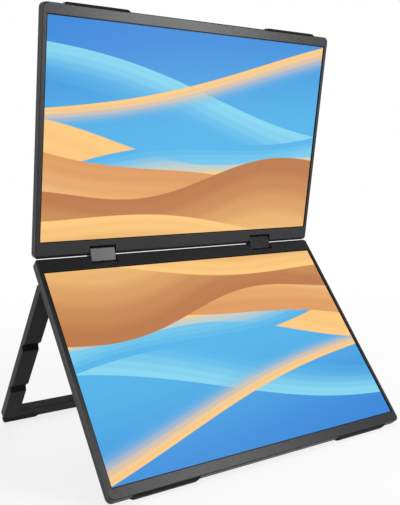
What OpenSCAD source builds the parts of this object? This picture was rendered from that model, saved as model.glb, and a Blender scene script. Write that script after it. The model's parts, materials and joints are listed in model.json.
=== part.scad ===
// Stacked laptop screen extender.
// Two identical slim display modules share a pair of dual-axis friction hinges;
// a U-shaped kickstand behind the lower module props both of them on a desk.
// The pose drawn is the working one: +X right, +Y to the rear, +Z up, desk at z = 0.
// Each module is drawn in its own frame: x across, y away from the hinge axis,
// z out of the screen, with the hinge axis on the x axis.

/* [Display module] */
// Width of the lit picture
active_w = 344.7; // [309:0.1:382]
// Height of the lit picture
active_h = 215.4; // [193:0.1:239]
// Bezel between the picture and each side
side_margin = 5.65; // [5:0.05:9]
// Bezel between the picture and the outer edge
outer_margin = 11.3; // [9:0.1:16]
// Bezel between the picture and the hinge edge
hinge_margin = 17.8; // [17:0.1:24]
// Thickness of the slim part of a module
module_t = 10; // [9.5:0.5:12]
// Corner radius in plan
corner_r = 5.5; // [4:0.5:8]
// Small chamfer round the front and back edges
edge_chamfer = 1; // [0.6:0.1:1.4]
// Thickness of the front bezel moulding at its rim
bezel_t = 2.6; // [2.2:0.1:3]
// Depth of the groove along the seam between bezel and back cover
seam_groove = 0.3; // [0.1:0.1:0.5]
// Wall of the back cover and the bezel
shell_wall = 1.6; // [1.2:0.1:2]

/* [Screen] */
// Unlit border of the glass that shows round the picture
glass_line = 1.1; // [0.8:0.1:1.3]
// Glass hidden under the bezel on each side
glass_tuck = 1.3; // [1:0.1:1.6]
// Thickness of the bezel lip in front of the glass
lip_t = 1; // [0.8:0.1:1.3]
// Thickness of the display glass
glass_t = 1.2; // [1:0.1:1.5]
// Thickness of the light guide and its films
guide_t = 1.4; // [1:0.1:1.8]
// Sheet thickness of the steel tray behind the light guide
tray_t = 0.5; // [0.3:0.1:0.7]

/* [Rear housing] */
// Distance of the housing from the hinge axis
housing_start = 12; // [11:0.5:16]
// Gap between the housing and the bar of the folded stand
housing_clear = 1.5; // [1:0.5:4]
// How far the housing stands out behind the slim back
housing_d = 9.2; // [9:0.1:10.5]
// Corner radius of the housing
housing_r = 7; // [5:0.5:10]
// Chamfer round the rear face of the housing
housing_chamfer = 1.2; // [0.8:0.1:1.4]
// Wall of the housing
housing_wall = 1.6; // [1.4:0.1:2]
// Width of a cooling slot
vent_w = 2.2; // [1.5:0.1:3]
// Length of a cooling slot
vent_l = 16; // [10:1:20]
// Distance from one cooling slot to the next
vent_pitch = 7; // [6:0.5:10]
// Width of the row of cooling slots
vent_span = 200; // [120:5:220]
// Distance of the cooling slots from the edge of the housing
vent_inset = 34; // [24:1:40]

/* [Hinges] */
// Gap between the two screens when they are folded together
closed_gap = 0.8; // [0.6:0.1:2]
// Distance of each hinge block from the middle
hinge_x = 103.8; // [90:0.2:120]
// Width of a hinge block
block_w = 29; // [24:0.5:34]
// Thickness of a hinge block
block_t = 9.2; // [8.6:0.1:9.6]
// Reach of a hinge block beyond each of its axes
block_end = 4.4; // [4:0.1:4.7]
// Rounding of a hinge block's long edges
block_round = 4.2; // [3.4:0.1:4.2]
// Space beside the block in its notch
notch_side = 0.7; // [0.5:0.1:1.5]
// Space between the turning block and the floor of its notch
notch_clear = 1.6; // [0.4:0.1:2.2]
// Radius of the steel hinge shafts
shaft_r = 2; // [1.5:0.1:2.2]
// Length of each bracket barrel round a shaft
barrel_l = 10; // [8:1:14]
// Reach of the bracket leaf behind the screen
leaf_l = 22; // [18:1:23]
// Sheet thickness of the bracket leaf
leaf_t = 1.2; // [1:0.1:1.4]

/* [Kickstand] */
// Distance of the stand's pivot from the hinge axis
pivot_y = 22; // [20:0.5:26]
// Soft chamfer along the edges of the stand
stand_chamfer = 0.4; // [0.3:0.1:0.9]
// Width of a leg
leg_w = 18; // [15:0.5:20]
// Thickness of the legs and the bar
leg_t = 9.5; // [8.6:0.1:10]
// Depth of the bar that joins the legs
bar_d = 15.5; // [13:0.5:18]
// Outer corner radius of the U
stand_r = 8; // [6:0.5:10]
// Inner corner radius of the U
stand_inner_r = 3; // [2:0.5:5]
// How far the legs sit inside the module's sides
stand_inset = 1; // [0.5:0.5:3]
// Gap between the folded stand and the slim back
stand_gap = 0.3; // [0.2:0.1:0.6]
// Distance of the lower groove from the end of the stand
groove_end = 56.5; // [52:0.5:62]
// Distance between the two grooves
groove_pitch = 68; // [63:0.5:72]
// Width of a groove at its floor
groove_w = 1.2; // [1:0.1:2]
// Depth of a groove
groove_d = 4.2; // [3:0.1:5]
// Run of a groove's long upper side
groove_run_up = 7.5; // [5:0.5:9]
// Run of a groove's steep lower side
groove_run_down = 4; // [2:0.5:6]
// Thickness of the rubber strip on a groove's lower side, along the leg
lining_t = 0.8; // [0.5:0.1:1]
// Radius of the pivot pins
pin_r = 2; // [1.8:0.1:2.1]
// Depth of the pin bore in a leg
pin_bore_l = 12; // [8:1:13]
// Length of a rubber pad along the bar
pad_l = 43; // [34:1:50]
// How far a pad stands out of the bar
pad_t = 3.2; // [2:0.1:3.8]
// Length of the sloped inner end of a pad
pad_ramp = 4; // [2:0.5:6]

/* [Edge feet] */
// Distance of each strip from the module's side
foot_inset = 22; // [18:1:36]
// Length of a strip
foot_l = 70; // [50:1:90]
// How far a strip stands out of the edge
foot_t = 2; // [1.5:0.1:3]
// Width of a strip across the edge
foot_w = 8.8; // [7:0.1:9]
// Length of the sloped end of a strip
foot_ramp = 3; // [1:0.5:6]
// Chamfer along the front edge of a strip
foot_chamfer = 0.8; // [0.4:0.1:1.2]
// Depth of the flat that is cut where rubber meets the desk
foot_flat = 0.8; // [0.5:0.1:1]

/* [Working pose] */
// Angle of the lower screen to the desk
lower_tilt = 51.8; // [46:0.1:56]
// Angle between the two screens
screen_angle = 132; // [115:1:170]
// Angle between the open stand and the lower module
stand_open = 76; // [70:1:82]

/* [Hidden] */

module_w = active_w + 2 * side_margin;
module_h = active_h + outer_margin + hinge_margin;

fine = 64;              // segments of the round features
far = 600;              // reach of cutting blocks
over = 1;               // overshoot of a cut past a face
run_fit = 0.05;         // radial clearance of a turning fit
slip = 0.3;             // clearance of a loose fit
face_gap = 0.1;         // end play between parts that turn

// Levels in a module's frame
half_t = module_t / 2;
side_x = module_w / 2;
outer_y = module_h - half_t;
inner_r = half_t - shell_wall;
floor_z = -half_t + shell_wall;
seam_z = half_t - bezel_t;
glass_front = half_t - lip_t;
glass_back = glass_front - glass_t;
guide_back = glass_back - guide_t;
tray_back = guide_back - tray_t;
active_y1 = outer_y - outer_margin;
active_y0 = active_y1 - active_h;
glass_edge = glass_line + glass_tuck;
guide_edge = glass_edge - tray_t - slip;
pivot_z = -half_t - stand_gap - leg_t / 2;

// Working pose
upper_dir = lower_tilt + 180 - screen_angle;
link_dir = (lower_tilt + upper_dir) / 2;
stand_lean = 180 - lower_tilt - stand_open;
axis_z = (outer_y + foot_t) * sin(lower_tilt) + foot_w / 2 * cos(lower_tilt) - foot_flat;
pivot_drop = pivot_y * sin(lower_tilt) - pivot_z * cos(lower_tilt);
pivot_back = -pivot_y * cos(lower_tilt) - pivot_z * sin(lower_tilt);
stand_w = 2 * (side_x - stand_inset);
stand_l = (axis_z - pivot_drop + foot_flat - leg_t / 2 * cos(stand_lean)) / sin(stand_lean) - pad_t;
front_reach = max((outer_y + foot_t) * cos(lower_tilt) + foot_w / 2 * sin(lower_tilt),
                  outer_y * cos(lower_tilt) + half_t * sin(lower_tilt));
groove_2 = stand_l - groove_end;
groove_1 = groove_2 - groove_pitch;
back_reach = pivot_back + stand_l * cos(stand_lean) + leg_t / 2 * sin(stand_lean);
axis_y = (front_reach - back_reach) / 2;

// Rear housing
housing_y0 = housing_start;
housing_y1 = pivot_y + stand_l - bar_d - housing_clear;
washer_t = 0.9;
leg_in_x = side_x - stand_inset - leg_w;
housing_x = leg_in_x - washer_t - face_gap;
housing_back = -half_t - housing_d;
housing_floor = housing_back + housing_wall;
housing_side = housing_x - housing_wall;

// Hinges
axis_gap = module_t + closed_gap;
block_chamfer = 0.6;
turning_r = norm([block_end, block_t / 2] - [block_round, block_round]) + block_round;
notch_depth = turning_r + notch_clear;
notch_w = block_w + 2 * notch_side;
notch_wall = 1.2;
shaft_reach = notch_w / 2 + notch_wall + barrel_l;
washer_count = 4;
disc_t = 0.5;
disc_r = 3;
stack_t = washer_count * disc_t;
nut_t = 2.4;
nut_r = 3.2;
barrel_r = inner_r - face_gap;
leaf_hole_r = 1.3;
peg_r = leaf_hole_r - face_gap;
peg_h = leaf_t + 0.6;
peg_inset = 5;

// Column board and ribbon
column_gap = 2;
column_w = 2 * (hinge_x - shaft_reach - stack_t - nut_t - column_gap);
column_t = 0.8;
column_y0 = 1.5;
column_l = 8;
column_back = 0;
column_post_x = 35;
column_posts = [for (x = [-1, 1]) [x * column_post_x, column_y0 + column_l / 2]];
column_post_r = 2;
ribbon_w = 20;
ribbon_t = 0.3;
ribbon_x = (ribbon_w - column_w) / 2;
ribbon_slot = 24;

// Driver board, on posts from the housing floor, reaching under the ribbon
post_h = 1.2;
post_r = 2.6;
board_t = 1.2;
board_back = housing_floor + post_h;
board_front = board_back + board_t;
board_gap = 1.4;
board_x0 = -housing_side + board_gap;
board_past = 14;
board_w = ribbon_x + board_past - board_x0;
board_edge = 10;
board_y0 = pivot_y + groove_1 - board_edge;
board_y1 = pivot_y + groove_2 + board_edge;
board_hole_inset = 5;
post_inset = 15.6;
board_spots = [for (x = [board_x0 + post_inset, board_x0 + board_w - board_hole_inset],
    y = [board_y0 + board_hole_inset, board_y1 - board_hole_inset]) [x, y]];
chip_t = 1.4;
chip_sizes = [6, 14, 10, 8];
chip_pitch = 20;
chip_inset = 26;

// Ports sit level with the grooves in the legs; buttons sit between them
port_y1 = pivot_y + groove_1;
port_y2 = pivot_y + groove_2;
usb_pitch = 14;
usb_spots = [port_y1, port_y1 + usb_pitch];
usb_w = 9;
usb_h = 3.2;
usb_l = 7.4;
usb_wall = 0.3;
hdmi_w = 11.2;
hdmi_h = 3.2;
hdmi_l = 7.6;
port_slip = 0.35;
port_inset = 0.2;
button_l = 8;
button_h = 2.4;
button_proud = 0.6;
button_travel = 0.4;
button_flange = 0.5;
button_flange_t = 0.8;
button_slip = 0.2;
button_from_port = 30;
button_pitch = 16;
power_y = port_y1 + button_from_port;
menu_y = power_y + button_pitch;
switch_h = 3;
switch_l = 5;
switch_w = 6;
button_z = board_front + switch_h / 2;

// Kickstand
pad_seat = 6;
pad_seat_z = 3;
stand_in_w = stand_w - 2 * leg_w;
stand_in_l = stand_l - bar_d;
pin_boss_l = 6;
pin_boss_w = 9;
washer_r = leg_t / 2 - 0.7;

// Screws that hold the rear housing on, and posts under the screen tray
screw_r = 1.3;
screw_head_r = 2.6;
screw_head_t = 1.1;
screw_boss_r = 3.4;
screw_inset = 12;
screw_spots = [for (x = [-1, 0, 1], y = [housing_y0 + screw_inset, housing_y1 - screw_inset])
    [x * (housing_x - screw_inset), y]];
tray_post_r = 3;
tray_post_inset = 14;
tray_spots = [for (x = [-1, -0.5, 0, 0.5, 1],
    y = [active_y0 + tray_post_inset, active_y1 - tray_post_inset])
    [x * (active_w / 2 - tray_post_inset), y]];

// Speakers
speaker_w = 62;
speaker_l = 15;
speaker_t = 4.4;
speaker_x = 60;
speaker_gap = 2;
speaker_y = housing_y1 - housing_wall - speaker_l - speaker_gap;
grille_w = 1.6;
grille_l = 10;
grille_pitch = 4;
grille_half = 6;

charcoal = [0.17, 0.17, 0.19];
charcoal_dark = [0.11, 0.11, 0.12];
rubber = [0.04, 0.04, 0.045];
steel = [0.62, 0.63, 0.65];
board_green = [0.05, 0.22, 0.14];

// ---------- shared shapes ----------

// Extrudes a (y, z) profile along x, centred
module along_x(l) rotate([90, 0, 90]) linear_extrude(l, center = true) children();

// A solid bar along x, centred on the y-z point given
module rod_x(l, r) rotate([0, 90, 0]) cylinder(h = l, r = r, center = true, $fn = fine);

// Rectangle with four round corners, centred in x
module rounded_rect(w, y0, y1, r) {
    translate([-w / 2 + r, y0]) square([w - 2 * r, y1 - y0]);
    translate([-w / 2, y0 + r]) square([w, y1 - y0 - 2 * r]);
    for (x = [-1, 1], y = [y0 + r, y1 - r])
        translate([x * (w / 2 - r), y]) circle(r, $fn = fine);
}

// Slot with round ends, l long in y
module slot_2d(w, l) {
    square([w, l - w], center = true);
    for (y = [-1, 1]) translate([0, y * (l - w) / 2]) circle(w / 2, $fn = fine);
}

// Outline of a chamfered section: u is the far side, n the near side
function chamfered(n, u, z0, z1, c0, c1) = concat(
    c0 > 0 ? [[n, z0 + c0], [n + c0, z0], [u - c0, z0], [u, z0 + c0]] : [[n, z0], [u, z0]],
    c1 > 0 ? [[u, z1 - c1], [u - c1, z1], [n + c1, z1], [n, z1 - c1]] : [[u, z1], [n, z1]]);

// Section of a round corner with the same chamfers
function chamfered_corner(r, z0, z1, c0, c1) = concat(
    c0 > 0 ? [[0, z0], [r - c0, z0], [r, z0 + c0]] : [[0, z0], [r, z0]],
    c1 > 0 ? [[r, z1 - c1], [r - c1, z1], [0, z1]] : [[r, z1], [0, z1]]);

// Plate with round corners and chamfers c0 below and c1 above
module chamfered_plate(w, y0, y1, z0, z1, r, c0, c1) {
    along_x(w - 2 * r) polygon(chamfered(y0, y1, z0, z1, c0, c1));
    translate([0, y1 - r, 0]) rotate([90, 0, 0])
        linear_extrude(y1 - y0 - 2 * r) polygon(chamfered(-w / 2, w / 2, z0, z1, c0, c1));
    for (x = [-1, 1], y = [y0 + r, y1 - r]) translate([x * (w / 2 - r), y, 0])
        rotate_extrude($fn = fine) polygon(chamfered_corner(r, z0, z1, c0, c1));
}

// Section with a full round end at y = 0
module round_end(r, reach) {
    circle(r, $fn = fine);
    translate([0, -r]) square([reach, 2 * r]);
}

// Everything below the desk, in the frame of the lower module
module under_desk() rotate([lower_tilt - 90, 0, 0])
    translate([-far / 2, axis_z, -far / 2]) cube([far, far, far]);

// ---------- placing ----------

module upper_place() translate([0, axis_y + axis_gap * cos(link_dir), axis_z + axis_gap * sin(link_dir)])
    rotate([upper_dir, 0, 0]) children();
module lower_place() translate([0, axis_y, axis_z]) rotate([lower_tilt, 0, 0])
    rotate([0, 0, 180]) children();
module link_place() translate([0, axis_y, axis_z]) rotate([link_dir, 0, 0]) children();
module stand_place() lower_place() translate([0, pivot_y, pivot_z])
    rotate([-stand_open, 0, 0]) children();

// ---------- case of a module ----------

module case_back() intersection() {
    chamfered_plate(module_w, -half_t, outer_y, -half_t, seam_z, corner_r, edge_chamfer, 0);
    along_x(module_w + 2 * over) round_end(half_t, outer_y + over);
}

module case_cavity() intersection() {
    along_x(module_w - 2 * shell_wall) round_end(inner_r, outer_y - shell_wall);
    translate([0, 0, -module_t]) linear_extrude(2 * module_t)
        rounded_rect(module_w - 2 * shell_wall, -half_t + shell_wall, outer_y - shell_wall,
                     corner_r - shell_wall);
}

module hinge_notches() for (s = [-1, 1])
    translate([s * hinge_x - notch_w / 2, -half_t - over, -module_t])
        cube([notch_w, half_t + over + notch_depth, 2 * module_t]);

module notch_boxes() for (s = [-1, 1])
    translate([s * hinge_x - notch_w / 2 - notch_wall, -half_t - over, -module_t])
        cube([notch_w + 2 * notch_wall, half_t + over + notch_depth + notch_wall, 2 * module_t]);

module hollow() difference() {
    case_cavity();
    notch_boxes();
}

module bezel() color(charcoal) difference() {
    intersection() {
        chamfered_plate(module_w, -half_t, outer_y, seam_z, half_t, corner_r, seam_groove, edge_chamfer);
        along_x(module_w + 2 * over) round_end(half_t, outer_y + over);
    }
    hollow();
    hinge_notches();
    // seat of the glass, then the window
    translate([-active_w / 2 - glass_edge - slip / 2, active_y0 - glass_edge - slip / 2, 0])
        cube([active_w + 2 * glass_edge + slip, active_h + 2 * glass_edge + slip, glass_front]);
    translate([-active_w / 2 - glass_line, active_y0 - glass_line, 0])
        cube([active_w + 2 * glass_line, active_h + 2 * glass_line, module_t]);
}

module back_cover() color(charcoal_dark) difference() {
    union() {
        difference() {
            case_back();
            hollow();
            hinge_notches();
        }
        for (p = tray_spots) translate([p[0], p[1], floor_z])
            cylinder(h = tray_back - floor_z, r = tray_post_r, $fn = fine);
        for (p = screw_spots) translate([p[0], p[1], floor_z])
            cylinder(h = -floor_z - column_t, r = screw_boss_r, $fn = fine);
        for (p = column_posts) translate([p[0], p[1], floor_z])
            cylinder(h = column_back - floor_z, r = column_post_r, $fn = fine);
        for (p = peg_spots()) translate([p[0], p[1], floor_z])
            cylinder(h = peg_h, r = peg_r, $fn = fine);
    }
    // bores for the hinge shafts through the notch walls
    for (s = [-1, 1]) translate([s * hinge_x, 0, 0])
        rod_x(notch_w + 2 * notch_wall + over, shaft_r + run_fit);
    // pilots of the housing screws
    for (p = screw_spots) translate([p[0], p[1], -half_t - over])
        cylinder(h = half_t + over - column_t - over, r = screw_r, $fn = fine);
    // way through for the ribbon
    translate([ribbon_x - ribbon_slot / 2, board_y0 - ribbon_slot, -half_t - over])
        cube([ribbon_slot, ribbon_slot, shell_wall + 2 * over]);
}

// Pegs of the back cover that locate the bracket leaves
function peg_spots() = [for (s = [-1, 1], e = [-1, 1])
    [s * hinge_x + e * (shaft_reach - barrel_l / 2), leaf_l - peg_inset]];

module vent_field() {
    count = floor((vent_span / vent_pitch - 1) / 2);
    for (i = [-count : count]) translate([i * vent_pitch, 0]) slot_2d(vent_w, vent_l);
}

module rear_housing(with_stand) color(charcoal_dark) difference() {
    chamfered_plate(2 * housing_x, housing_y0, housing_y1, housing_back, -half_t,
                    housing_r, housing_chamfer, 0);
    difference() {
        translate([0, 0, housing_floor]) linear_extrude(housing_d)
            rounded_rect(2 * housing_side, housing_y0 + housing_wall, housing_y1 - housing_wall,
                         housing_r - housing_wall);
        for (p = screw_spots) translate([p[0], p[1], housing_back])
            cylinder(h = housing_d + over, r = screw_boss_r, $fn = fine);
        for (p = board_spots) translate([p[0], p[1], housing_back])
            cylinder(h = housing_wall + post_h, r = post_r, $fn = fine);
        for (s = [-1, 1])
            translate([s * (housing_side - pin_boss_l / 2), pivot_y, housing_back + housing_d / 2])
                cube([pin_boss_l + over, pin_boss_w, housing_d + over], center = true);
    }
    // screws: shank and sunk head
    for (p = screw_spots) translate([p[0], p[1], housing_back - over]) {
        cylinder(h = housing_d + 2 * over, r = screw_r, $fn = fine);
        cylinder(h = screw_head_t + over, r = screw_head_r + slip / 2, $fn = fine);
    }
    // cooling slots near the hinge and speaker slots near the outer edge
    translate([0, housing_y0 + vent_inset, housing_back - over]) linear_extrude(housing_wall + 2 * over)
        vent_field();
    for (s = [-1, 1], i = [-grille_half : grille_half])
        translate([s * speaker_x + i * grille_pitch, speaker_y + speaker_l / 2, housing_back - over])
            linear_extrude(housing_wall + 2 * over) slot_2d(grille_w, grille_l);
    // ports and buttons through the side wall
    for (y = usb_spots) translate([-housing_x, y, board_front + usb_h / 2])
        side_slot(usb_w + 2 * port_slip, usb_h + 2 * port_slip);
    translate([-housing_x, port_y2, board_front + hdmi_h / 2]) rotate([90, 0, 90])
        translate([0, 0, -over]) linear_extrude(housing_wall + 2 * over)
            socket_outline(hdmi_w + 2 * port_slip, hdmi_h + 2 * port_slip);
    for (y = [power_y, menu_y]) translate([-housing_x, y, button_z])
        side_slot(button_l + 2 * button_slip, button_h + 2 * button_slip);
    if (with_stand) for (s = [-1, 1]) translate([s * housing_x, pivot_y, pivot_z])
        rod_x(2 * (pin_boss_l + housing_wall - over), pin_r);
}

// Opening through a side wall, round ended, l in y and h in z
module side_slot(l, h) rotate([0, 90, 0]) translate([0, 0, -over])
    linear_extrude(housing_wall + 2 * over) slot_2d(h, l);

// ---------- screen ----------

module lcd_glass() color([0.1, 0.45, 0.8])
    translate([-active_w / 2 - glass_edge, active_y0 - glass_edge, glass_back])
        cube([active_w + 2 * glass_edge, active_h + 2 * glass_edge, glass_t]);

module light_guide() color([0.9, 0.92, 0.95])
    translate([-active_w / 2 - guide_edge, active_y0 - guide_edge, guide_back])
        cube([active_w + 2 * guide_edge, active_h + 2 * guide_edge, guide_t]);

// Folded steel tray: floor and low rim round the light guide
module lcd_tray() color(steel) difference() {
    translate([-active_w / 2 - glass_edge, active_y0 - glass_edge, tray_back])
        cube([active_w + 2 * glass_edge, active_h + 2 * glass_edge, guide_t + tray_t]);
    translate([-active_w / 2 - guide_edge - slip / 2, active_y0 - guide_edge - slip / 2, guide_back])
        cube([active_w + 2 * guide_edge + slip, active_h + 2 * guide_edge + slip, guide_t + over]);
}

module column_board() color(board_green)
    translate([-column_w / 2, column_y0, column_back]) cube([column_w, column_l, column_t]);

// Ribbon from under the column board, through the back, to the driver board
module panel_flex() color([0.75, 0.5, 0.15]) translate([ribbon_x, 0, 0]) along_x(ribbon_w) {
    y1 = board_y0 - ribbon_slot / 2;
    translate([column_y0, column_back - ribbon_t]) square([y1 - column_y0 + ribbon_t, ribbon_t]);
    translate([y1, board_front]) square([ribbon_t, column_back - board_front]);
    translate([y1, board_front]) square([board_y0 - y1 + board_past, ribbon_t]);
}

// ---------- electronics ----------

module driver_board() color(board_green) difference() {
    translate([board_x0, board_y0, board_back]) cube([board_w, board_y1 - board_y0, board_t]);
    for (p = board_spots) translate([p[0], p[1], board_back - over])
        cylinder(h = board_t + 2 * over, r = leaf_hole_r, $fn = fine);
}

module board_chips() color([0.08, 0.08, 0.08])
    for (i = [0 : len(chip_sizes) - 1], row = [-1, 1])
        translate([board_x0 + chip_inset + i * chip_pitch, (board_y0 + board_y1 + row * chip_pitch) / 2,
                   board_front + chip_t / 2])
            cube([chip_sizes[i], row > 0 ? chip_sizes[i] : chip_sizes[i] / 2, chip_t], center = true);

module usb_c_sockets() color(steel) for (y = usb_spots)
    translate([-housing_x + port_inset, y, board_front + usb_h / 2]) difference() {
        rotate([0, 90, 0]) linear_extrude(usb_l) slot_2d(usb_h, usb_w);
        rotate([0, 90, 0]) translate([0, 0, -over])
            linear_extrude(usb_l - 1 + over) slot_2d(usb_h - 2 * usb_wall, usb_w - 2 * usb_wall);
    }

module hdmi_socket() color(steel) translate([-housing_x + port_inset, port_y2, board_front + hdmi_h / 2])
    difference() {
        rotate([90, 0, 90]) linear_extrude(hdmi_l) socket_outline(hdmi_w, hdmi_h);
        rotate([90, 0, 90]) translate([0, 0, -over]) linear_extrude(hdmi_l - 1 + over)
            socket_outline(hdmi_w - 2 * usb_wall, hdmi_h - 2 * usb_wall);
    }

// Socket mouth with its two lower corners cut
module socket_outline(w, h) polygon([[-w / 2, h / 2], [-w / 2, -h / 6], [-w / 2 + h / 3, -h / 2],
    [w / 2 - h / 3, -h / 2], [w / 2, -h / 6], [w / 2, h / 2]]);

// Tact switches behind the buttons
module switches() color([0.2, 0.2, 0.22]) for (y = [power_y, menu_y])
    translate([button_back_x() + button_travel + face_gap, y - switch_w / 2, board_front])
        cube([switch_l, switch_w, switch_h]);

// Inner end of a button: flange inside the housing wall
function button_back_x() = -housing_side + face_gap + button_flange_t;

module button(y) color([0.25, 0.25, 0.27]) translate([0, y, button_z]) {
    translate([-housing_x - button_proud, 0, 0]) rotate([0, 90, 0])
        linear_extrude(housing_x + button_proud + button_back_x()) slot_2d(button_h, button_l);
    translate([-housing_side + face_gap, 0, 0]) rotate([0, 90, 0])
        linear_extrude(button_flange_t) slot_2d(button_h + 2 * button_flange, button_l + 2 * button_flange);
}

module speakers() color([0.12, 0.12, 0.13]) for (s = [-1, 1])
    translate([s * speaker_x - speaker_w / 2, speaker_y, housing_floor])
        cube([speaker_w, speaker_l, speaker_t]);

// ---------- hinges ----------

module hinge_brackets() color(steel) for (s = [-1, 1]) translate([s * hinge_x, 0, 0]) {
    difference() {
        union() {
            for (e = [-1, 1]) translate([e * (notch_w / 2 + notch_wall + barrel_l / 2), 0, 0]) {
                rod_x(barrel_l, barrel_r);
                translate([-barrel_l / 2, 0, floor_z]) cube([barrel_l, leaf_l, leaf_t]);
            }
            translate([-shaft_reach, notch_depth + notch_wall + slip, floor_z])
                cube([2 * shaft_reach, leaf_l - notch_depth - notch_wall - slip, leaf_t]);
        }
        for (e = [-1, 1]) translate([e * (notch_w / 2 + notch_wall + barrel_l / 2), 0, 0])
            rod_x(barrel_l + over, shaft_r);
        for (e = [-1, 1]) translate([e * (shaft_reach - barrel_l / 2), leaf_l - peg_inset, floor_z - over])
            cylinder(h = leaf_t + 2 * over, r = leaf_hole_r, $fn = fine);
    }
}

module hinge_shafts() color(steel) for (s = [-1, 1]) translate([s * hinge_x, 0, 0])
    rod_x(2 * (shaft_reach + stack_t + nut_t), shaft_r);

// Spring discs of the friction stacks, in turn flat and domed on the real hinge
module friction_washers() color(steel) for (s = [-1, 1], e = [-1, 1], i = [0 : washer_count - 1])
    translate([s * hinge_x + e * (shaft_reach + (i + 0.5) * disc_t), 0, 0]) difference() {
        rod_x(disc_t, i % 2 == 0 ? disc_r : disc_r - slip);
        rod_x(disc_t + over, shaft_r);
    }

// Nuts that load the friction stacks, one at each end of a shaft
module hinge_nuts() color(steel) for (s = [-1, 1], e = [-1, 1])
    translate([s * hinge_x + e * (shaft_reach + stack_t + nut_t / 2), 0, 0]) difference() {
        rotate([0, 90, 0]) cylinder(h = nut_t, r = nut_r, center = true, $fn = 6);
        rod_x(nut_t + over, shaft_r);
    }

module hinge_block() color(charcoal) difference() {
    rotate([0, 90, 0]) chamfered_plate(block_t, -block_end, axis_gap + block_end, -block_w / 2, block_w / 2,
                                       block_round, block_chamfer, block_chamfer);
    for (y = [0, axis_gap]) translate([0, y, 0]) rod_x(block_w + over, shaft_r + run_fit);
}

// ---------- fasteners and feet ----------

module cover_screws() color(steel) for (p = screw_spots) translate([p[0], p[1], housing_back]) {
    cylinder(h = screw_head_t, r = screw_head_r, $fn = fine);
    cylinder(h = housing_d + half_t - column_t - over, r = screw_r, $fn = fine);
}

module edge_feet() color(rubber) difference() {
    for (s = [-1, 1]) translate([s * (side_x - foot_inset - foot_l / 2), outer_y, 0]) intersection() {
        translate([0, 0, -foot_w / 2]) linear_extrude(foot_w)
            polygon([[-foot_l / 2, 0], [foot_l / 2, 0], [foot_l / 2 - foot_ramp, foot_t],
                     [-foot_l / 2 + foot_ramp, foot_t]]);
        along_x(foot_l + over) polygon([[0, -foot_w / 2], [foot_t, -foot_w / 2],
            [foot_t, foot_w / 2 - foot_chamfer], [foot_t - foot_chamfer, foot_w / 2], [0, foot_w / 2]]);
    }
    under_desk();
}

// ---------- kickstand, drawn from its pivot ----------

module stand_outline() rounded_rect(stand_w, -2 * stand_r, stand_l, stand_r);
module stand_inside() rounded_rect(stand_in_w, -4 * stand_r, stand_in_l, stand_inner_r);

// Pockets for the pads along the lower front corner of the bar
module pad_pockets() for (s = [0, 1]) mirror([s, 0, 0])
    translate([stand_w / 2 - pad_l, stand_l - pad_seat, leg_t / 2 - pad_seat_z])
        cube([pad_l + over, pad_seat + over, pad_seat_z + over]);

module stand_blank() difference() {
    intersection() {
        along_x(stand_w + over) round_end(leg_t / 2, stand_l + over);
        chamfered_plate(stand_w, -2 * stand_r, stand_l, -leg_t / 2, leg_t / 2, stand_r,
                        stand_chamfer, stand_chamfer);
    }
    // the open inside, flared at both faces
    translate([0, 0, -leg_t]) linear_extrude(2 * leg_t) stand_inside();
    for (s = [0, 1]) mirror([0, 0, s])
        chamfered_plate(stand_in_w + 2 * stand_chamfer, -4 * stand_r, stand_in_l + stand_chamfer,
                        leg_t / 2 - stand_chamfer, leg_t / 2 + over, stand_inner_r + stand_chamfer,
                        stand_chamfer, 0);
}

module stand_frame_shape() color(charcoal) difference() {
    stand_blank();
    for (s = [-1, 1]) translate([s * (leg_in_x + pin_bore_l / 2 - over / 2), 0, 0])
        rod_x(pin_bore_l + over, pin_r + run_fit);
    at_grooves() along_x(leg_w + over) groove_section();
    pad_pockets();
}

// Section of a V-shaped groove: long upper side, steep lower side
module groove_section() {
    grow = 1 + over / groove_d;
    polygon([[-groove_w / 2, -groove_d], [groove_w / 2, -groove_d],
             [groove_w / 2 + groove_run_down * grow, over], [-groove_w / 2 - groove_run_up * grow, over]]);
}

// Section of the strip that lies on the lower side
module lining_section() polygon([[groove_w / 2 - lining_t, -groove_d], [groove_w / 2, -groove_d],
    [groove_w / 2 + groove_run_down, 0], [groove_w / 2 + groove_run_down - lining_t, 0]]);

// Repeats its child at the four grooves
module at_grooves() for (s = [-1, 1], y = [groove_1, groove_2])
    translate([s * (stand_w / 2 - leg_w / 2), y, leg_t / 2]) children();

module groove_linings_shape() color(rubber)
    at_grooves() along_x(leg_w - 2 * stand_chamfer) lining_section();

// Plan of a pad: seated in the bar, proud of its end, sloped at the inner end
module pad_plan() polygon([[stand_w / 2 - pad_l, stand_l - pad_seat], [stand_w / 2, stand_l - pad_seat],
    [stand_w / 2, stand_l + pad_t], [stand_w / 2 - pad_l + pad_ramp, stand_l + pad_t],
    [stand_w / 2 - pad_l, stand_l]]);

module stand_pads_shape() color(rubber) difference() {
    translate([0, 0, leg_t / 2 - pad_seat_z]) linear_extrude(pad_seat_z) intersection() {
        for (s = [0, 1]) mirror([s, 0]) pad_plan();
        union() {
            stand_outline();
            translate([0, pad_t]) stand_outline();
        }
    }
    desk_cut_stand();
}

// Everything below the desk, in the stand's own frame
module desk_cut_stand() rotate([stand_open, 0, 0]) translate([0, -pivot_y, -pivot_z]) under_desk();

module stand_pins_shape() color(steel) for (s = [-1, 1]) {
    x0 = housing_side - pin_boss_l + over;
    x1 = leg_in_x + pin_bore_l - face_gap;
    translate([s * (x0 + x1) / 2, pivot_y, pivot_z]) rod_x(x1 - x0, pin_r);
}

module stand_washers_shape() color(steel) for (s = [-1, 1])
    translate([s * (housing_x + washer_t / 2), pivot_y, pivot_z]) difference() {
        rod_x(washer_t, washer_r);
        rod_x(washer_t + over, pin_r);
    }

// ---------- nodes ----------

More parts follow.
